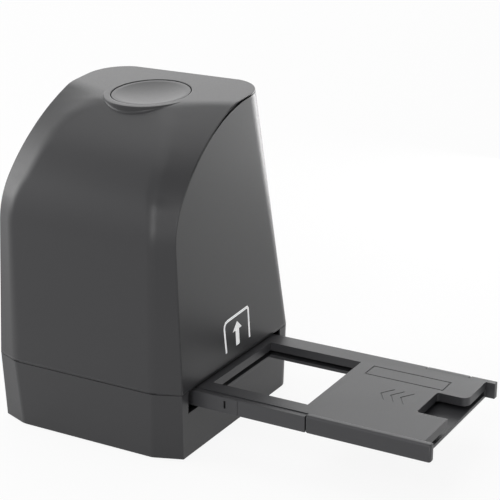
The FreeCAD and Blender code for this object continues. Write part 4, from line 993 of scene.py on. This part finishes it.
@dataclass
class Base:
    """The base shell with its facets softened like the cover's, and the feet and sockets about it."""

    packed: PackedFrame
    facet_round: float = 1.6
    facet_least: float = 15.0
    facet_half: float = 32.7
    facet_width: float = 1.2
    facet_front: float = -44.5
    rim_round: float = 0.22
    rim_top: float = 27.5
    rim_front: float = -41.0
    rim_side: float = 43.0
    rim_low: float = 1.0
    rim_back: float = 47.0
    small_round: float = 0.12
    small_least: float = 60.0

    def build(self) -> None:
        """Build the base, the feet and the data socket."""
        mesh = self.packed.copy("base_shell")
        facets = [edge for edge in sharp_edges(mesh, self.facet_least)
                  if upright(edge) and self.at_facet(edge.verts[0].co)]
        bevel_edges(mesh, facets, self.facet_round, segments=5)
        bevel_edges(mesh, sharp_edges(mesh, chosen=self.on_rim), self.rim_round)
        even_shading(publish(mesh, "base_shell_skin", Body.HOUSING, HOUSING, ["base_shell"]))
        for node, finish in (("rubber_feet", RUBBER), ("data_socket", SOCKET), ("socket_tongue", BLACK)):
            mesh = self.packed.copy(node)
            bevel_edges(mesh, sharp_edges(mesh, self.small_least), self.small_round)
            even_shading(publish(mesh, f"{node}_eased", Body.HOUSING, finish, [node]))

    def at_facet(self, spot: Vector) -> bool:
        """Tell whether a place is where a corner facet meets the front."""
        return abs(abs(spot.x) - self.facet_half) < self.facet_width and spot.y < self.facet_front

    def on_rim(self, middle: Vector) -> bool:
        """Tell whether an edge is one of the outer rims."""
        return (middle.z > self.rim_top or middle.y < self.rim_front or abs(middle.x) > self.rim_side
                or (middle.z < self.rim_low and middle.y > self.rim_back))


@dataclass
class InsertPictogram:
    """The white pictogram on the right side panel: an arrow in the outline of a tray end.

    Its outlines are points (y, z) on the panel.
    """

    form: HousingForm
    stroke: float = 1.15
    proud: float = 0.05
    mitre_least: float = 0.5
    frame: Outline = ((-7.6, 33.8), (-8.5, 44.4), (-8.2, 45.6), (-7.3, 46.6), (-5.8, 47.0), (10.2, 47.8),
                      (11.0, 46.9), (11.3, 34.2))
    arrow_head: Outline = ((-2.1, 40.8), (5.3, 41.2), (1.7, 44.6))
    arrow_stem: Outline = ((0.3, 34.3), (3.1, 34.5), (3.0, 41.2), (0.2, 41.1))

    def build(self) -> None:
        """Build the print."""
        mesh = bmesh.new()
        self.draw_line(mesh, self.frame)
        for outline in (self.arrow_head, self.arrow_stem):
            mesh.faces.new([mesh.verts.new(self.on_panel(y, z)) for y, z in outline])
        bmesh.ops.solidify(mesh, geom=list(mesh.faces), thickness=self.proud / 2)
        bmesh.ops.recalc_face_normals(mesh, faces=mesh.faces)
        publish(mesh, "insert_pictogram", Body.HOUSING, PRINT)

    def on_panel(self, y: float, z: float) -> Vector:
        """A point just proud of the side panel."""
        return Vector((self.form.side_at(z) + self.proud, y, z))

    def draw_line(self, mesh: bmesh.types.BMesh, line: Outline) -> None:
        """Add a line of even width.

        Args:
            mesh: the print's mesh.
            line: its points.
        """
        half = self.stroke / 2
        pairs = []
        for index, (y, z) in enumerate(line):
            before = Vector(line[max(index - 1, 0)])
            after = Vector(line[min(index + 1, len(line) - 1)])
            here = Vector((y, z))
            first = (here - before).normalized() if index else (after - here).normalized()
            second = (after - here).normalized() if index < len(line) - 1 else first
            middle = (first + second).normalized()
            across = Vector((-middle.y, middle.x)) * half / max(middle.dot(first), self.mitre_least)
            pairs.append([mesh.verts.new(self.on_panel(*(here + across * sign))) for sign in (1, -1)])
        for (left, right), (next_left, next_right) in zip(pairs, pairs[1:]):
            mesh.faces.new((left, right, next_right, next_left))


@dataclass
class ScanButton:
    """The round scan button with its finger dish, and the coil spring under it.

    Depths count down from the flat top, in the button's own frame.
    """

    form: HousingForm
    radius: float = 16.25
    sink: float = 0.15
    dish: float = 1.3
    rim: float = 1.4
    edge_round: float = 0.3
    edge_turns: tuple[float, ...] = (30, 60, 90)
    side_depth: float = 7.2
    flange: float = 1.6
    flange_height: float = 1.4
    skin: float = 1.8
    stem_radius: float = 2.4
    stem_depth: float = 11.0
    round_steps: int = 128
    dish_steps: int = 24
    spring_radius: float = 6.0
    spring_depth: float = 15.25
    wire: float = 0.7
    wire_sides: int = 10
    turns: int = 5
    turn_steps: int = 20
    travel: float = 0.5
    play: float = 0.06

    def build(self) -> None:
        """Build the button and its spring."""
        frame = self.form.button_frame()
        mesh = bmesh.new()
        points = [mesh.verts.new((radius, 0, level)) for radius, level in self.profile()]
        edges = [mesh.edges.new(pair) for pair in zip(points, points[1:])]
        bmesh.ops.spin(mesh, geom=points + edges, cent=(0, 0, 0), axis=(0, 0, 1), dvec=(0, 0, 0),
                       angle=math.tau, steps=self.round_steps, use_merge=True)
        bmesh.ops.remove_doubles(mesh, verts=mesh.verts, dist=JOIN_DISTANCE / 2)
        bmesh.ops.recalc_face_normals(mesh, faces=mesh.faces)
        bmesh.ops.transform(mesh, matrix=frame, verts=mesh.verts)
        even_shading(publish(mesh, "scan_button_cap", Body.BUTTON, BUTTON, ["scan_button"]))
        self.build_spring(frame)

    def profile(self) -> list[tuple[float, float]]:
        """The button's half section, from the middle of the dish round to the stem's foot.

        Returns:
            Its points as (radius, level).
        """
        rim = self.radius - self.rim
        ball = (rim * rim + self.dish * self.dish) / (2 * self.dish)
        bottom = -self.sink - self.dish
        section = [(0.0, bottom)]
        for index in range(1, self.dish_steps + 1):
            radius = rim * index / self.dish_steps
            section.append((radius, bottom + ball - math.sqrt(ball * ball - radius * radius)))
        edge = self.edge_round
        section.append((self.radius - edge, -self.sink))
        for turn in self.edge_turns:
            angle = math.radians(turn)
            section.append((self.radius - edge + edge * math.sin(angle),
                            -self.sink - edge + edge * math.cos(angle)))
        under = bottom - self.skin
        foot = -self.side_depth - self.flange_height
        section += [(self.radius, -self.side_depth), (self.radius + self.flange, -self.side_depth),
                    (self.radius + self.flange, foot), (self.radius - self.flange, foot),
                    (self.radius - self.flange, under), (self.stem_radius, under),
                    (self.stem_radius, -self.stem_depth), (0.0, -self.stem_depth)]
        return section

    def build_spring(self, frame: Matrix) -> None:
        """Wind the coil spring, with room above it for the button's travel.

        Args:
            frame: the button's frame.
        """
        low = -self.spring_depth
        high = -self.sink - self.dish - self.skin - self.travel - self.wire / 2 - self.play
        mesh = bmesh.new()
        ring = bmesh.ops.create_circle(mesh, cap_ends=False, segments=self.wire_sides,
                                       radius=self.wire / 2)["verts"]
        turned = Matrix.Translation((self.spring_radius, 0, low)) @ Matrix.Rotation(math.pi / 2, 4, "X")
        bmesh.ops.transform(mesh, matrix=turned, verts=ring)
        count = self.turn_steps * self.turns
        bmesh.ops.spin(mesh, geom=list(mesh.edges), cent=(0, 0, 0), axis=(0, 0, 1),
                       dvec=(0, 0, (high - low) / count), angle=math.tau * self.turns, steps=count)
        bmesh.ops.holes_fill(mesh, edges=[edge for edge in mesh.edges if edge.is_boundary], sides=0)
        bmesh.ops.recalc_face_normals(mesh, faces=mesh.faces)
        bmesh.ops.transform(mesh, matrix=frame, verts=mesh.verts)
        publish(mesh, "button_coil_spring", Body.HOUSING, SPRING, ["button_spring"])


@dataclass
class FilmTray:
    """The film tray: its lower half, its cover with the engraved marks, and its two clip bars."""

    packed: PackedFrame
    cover_right: float = 140.9
    notch_far: float = 11.2
    notch_left: float = 128.2
    place_play: float = 0.2
    corner_least: float = 1.0
    tab_round: float = 3.0
    notch_round: float = 1.2
    cover_underside: float = 27.5
    cover_edge: float = 0.22
    body_edge: float = 0.13
    edge_least: float = 50.0
    clip_edges: tuple[tuple[str, float], ...] = (("far_clip", 0.5), ("near_clip_bar", 0.6))
    clip_least: float = 60.0

    def build(self) -> None:
        """Build the tray's pieces."""
        self.build_cover()
        body = self.packed.copy("tray_body")
        bevel_edges(body, sharp_edges(body, self.edge_least), self.body_edge)
        even_shading(publish(body, "tray_body_shell", Body.TRAY, TRAY, ["tray_body"]))
        for node, width in self.clip_edges:
            mesh = self.packed.copy(node)
            bevel_edges(mesh, sharp_edges(mesh, self.clip_least), width, segments=3)
            even_shading(publish(mesh, f"{node}_eased", Body.TRAY, TRAY, [node]))

    def build_cover(self) -> None:
        """Build the cover plate with its window, its finger notch and its eased edges."""
        mesh = self.packed.copy("tray_cover")
        tab = self.corners(mesh, self.cover_right, self.notch_far)
        bevel_edges(mesh, tab, self.tab_round, segments=6)
        bevel_edges(mesh, self.corners(mesh, self.notch_left), self.notch_round, segments=4)
        top = sharp_edges(mesh, self.edge_least, lambda middle: middle.z > self.cover_underside)
        bevel_edges(mesh, top, self.cover_edge)
        even_shading(publish(mesh, "tray_cover_plate", Body.TRAY, TRAY, ["tray_cover"]))

    def corners(self, mesh: bmesh.types.BMesh, x: float,
                y: float | None = None) -> list[bmesh.types.BMEdge]:
        """Find the upright corner edges at a place along X, and at one along Y where it is given."""
        spots = ((edge, edge.verts[0].co) for edge in mesh.edges
                 if upright(edge) and edge.calc_face_angle(0.0) > self.corner_least)
        return [edge for edge, spot in spots if abs(spot.x - x) < self.place_play
                and (y is None or abs(spot.y - y) < self.place_play)]


# The studio


@dataclass(frozen=True)
class Softbox:
    """A square studio light, placed in metres."""

    name: str
    place: tuple[float, float, float]
    aim: tuple[float, float, float]
    side: float
    power: float

    def build(self) -> None:
        """Hang the light."""
        lamp = bpy.data.lights.new(self.name, "AREA")
        lamp.shape = "SQUARE"
        lamp.size = self.side
        lamp.energy = self.power
        holder = bpy.data.objects.new(self.name, lamp)
        holder.location = self.place
        way = Vector(self.aim) - Vector(self.place)
        holder.rotation_euler = way.to_track_quat("-Z", "Y").to_euler()
        bpy.context.scene.collection.objects.link(holder)


SOFTBOXES = (
    Softbox("overhead", (-0.25, 0.1, 1.1), (0.03, 0.0, 0.1), 0.8, 3.0),
    Softbox("left", (-1.0, -0.25, 0.45), (0.0, 0.0, 0.08), 0.7, 5.0),
    Softbox("back_left", (-0.6, 1.07, 0.58), (0.03, 0.0, 0.1), 1.0, 3.2),
    Softbox("front_right", (0.16, -1.05, 0.40), (0.0, 0.0, 0.1), 0.25, 1.3),
    Softbox("front_high", (0.12, -0.85, 0.82), (0.0, 0.0, 0.1), 0.3, 1.6),
    Softbox("right_back", (0.10, 0.42, 0.05), (0.045, 0.03, 0.06), 0.2, 0.7),
)


@dataclass(frozen=True)
class Studio:
    """The pale floor, the white surround, the softboxes and the camera.

    Directions in the surround are given by their rise, from 0 at the horizon to 1 straight up.
    """

    camera_place: tuple[float, float, float] = (337.034, -506.375, 279.873)
    camera_aim: tuple[float, float, float] = (50.39, 0.0, 76.94)
    lens: float = 111.6
    sensor: float = 36.0
    nearest: float = 0.01
    ambient: float = 0.42
    ceiling: float = 0.30
    ceiling_rise: tuple[float, float] = (0.45, 0.85)
    floor_half: float = 3.0
    floor_squares: int = 24
    floor_white: float = 0.9
    floor_roughness: float = 0.9
    floor_seen: float = 0.90
    floor_mirrored: float = 0.50

    def build(self) -> None:
        """Set up everything about the part."""
        bpy.context.scene.view_settings.view_transform = "Standard"
        self.build_floor()
        self.build_surround()
        for box in SOFTBOXES:
            box.build()
        self.build_camera()

    def build_camera(self) -> None:
        """Set up the camera at the photograph's place."""
        scene = bpy.context.scene
        data = bpy.data.cameras.new("camera")
        data.lens = self.lens
        data.sensor_width = self.sensor
        data.clip_start = self.nearest
        camera = bpy.data.objects.new("camera", data)
        place = Vector(self.camera_place) * MM
        camera.location = place
        camera.rotation_euler = (Vector(self.camera_aim) * MM - place).to_track_quat("-Z", "Y").to_euler()
        scene.collection.objects.link(camera)
        scene.camera = camera

    def build_floor(self) -> None:
        """Lay the pale floor under the part: white to the eye, and paper to the light."""
        mesh = bmesh.new()
        bmesh.ops.create_grid(mesh, x_segments=self.floor_squares, y_segments=self.floor_squares,
                              size=self.floor_half)
        data = bpy.data.meshes.new("floor")
        mesh.to_mesh(data)
        mesh.free()
        floor = bpy.data.objects.new("floor", data)
        bpy.context.scene.collection.objects.link(floor)
        material = bpy.data.materials.new("floor_paper")
        material.use_nodes = True
        bench = NodeBench(material.node_tree)
        paper = bench.tree.nodes["Principled BSDF"]
        white = (self.floor_white, self.floor_white, self.floor_white, 1)
        bench.feed(paper, {"Base Color": white, "Roughness": self.floor_roughness,
                           "Specular IOR Level": 0.0})
        lit = bench.add("ShaderNodeEmission", {"Strength": 1.0})
        glossy = bench.add("ShaderNodeLightPath", output="Is Glossy Ray")
        seen = bench.add("ShaderNodeLightPath", output="Is Camera Ray")
        share = bench.weighted(seen, self.floor_seen, bench.weighted(glossy, self.floor_mirrored))
        mix = bench.add("ShaderNodeMixShader", dict(enumerate((share, paper.outputs[0], lit))))
        bench.feed(bench.tree.nodes["Material Output"], {"Surface": mix})
        data.materials.append(material)

    def build_surround(self) -> None:
        """Make the surround white to the eye and soft as a light, with a dimmer ceiling in gloss."""
        world = bpy.data.worlds.new("surround")
        world.use_nodes = True
        bpy.context.scene.world = world
        bench = NodeBench(world.node_tree)
        place = bench.add("ShaderNodeTexCoord", output="Generated")
        rise = bench.add("ShaderNodeSeparateXYZ", {0: place}, "Z")
        walls = bench.ranged(rise, self.ceiling_rise, (1.0, self.ceiling))
        level: Value = self.ambient
        for ray, strength in (("Is Glossy Ray", walls), ("Is Transmission Ray", 1.0),
                              ("Is Camera Ray", 1.0)):
            seen = bench.add("ShaderNodeLightPath", output=ray)
            level = bench.mix(MixKind.NUMBER, seen, level, strength)
        bench.feed(bench.tree.nodes["Background"], {"Color": (1, 1, 1, 1), "Strength": level})


def main() -> None:
    """Load the frame, build every piece and light it."""
    logging.basicConfig(level=logging.INFO, format="%(message)s")
    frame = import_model()
    packed = PackedFrame(frame["nodes"])
    form = HousingForm()
    Studio().build()
    FrontCover(form).build()
    RearCover(form).build()
    Base(packed).build()
    InsertPictogram(form).build()
    ScanButton(form).build()
    FilmTray(packed).build()
    for node, finish in INNER_FINISHES.items():
        packed.dress(node, finish)
    bpy.context.view_layer.update()


if __name__ == "__main__":
    main()
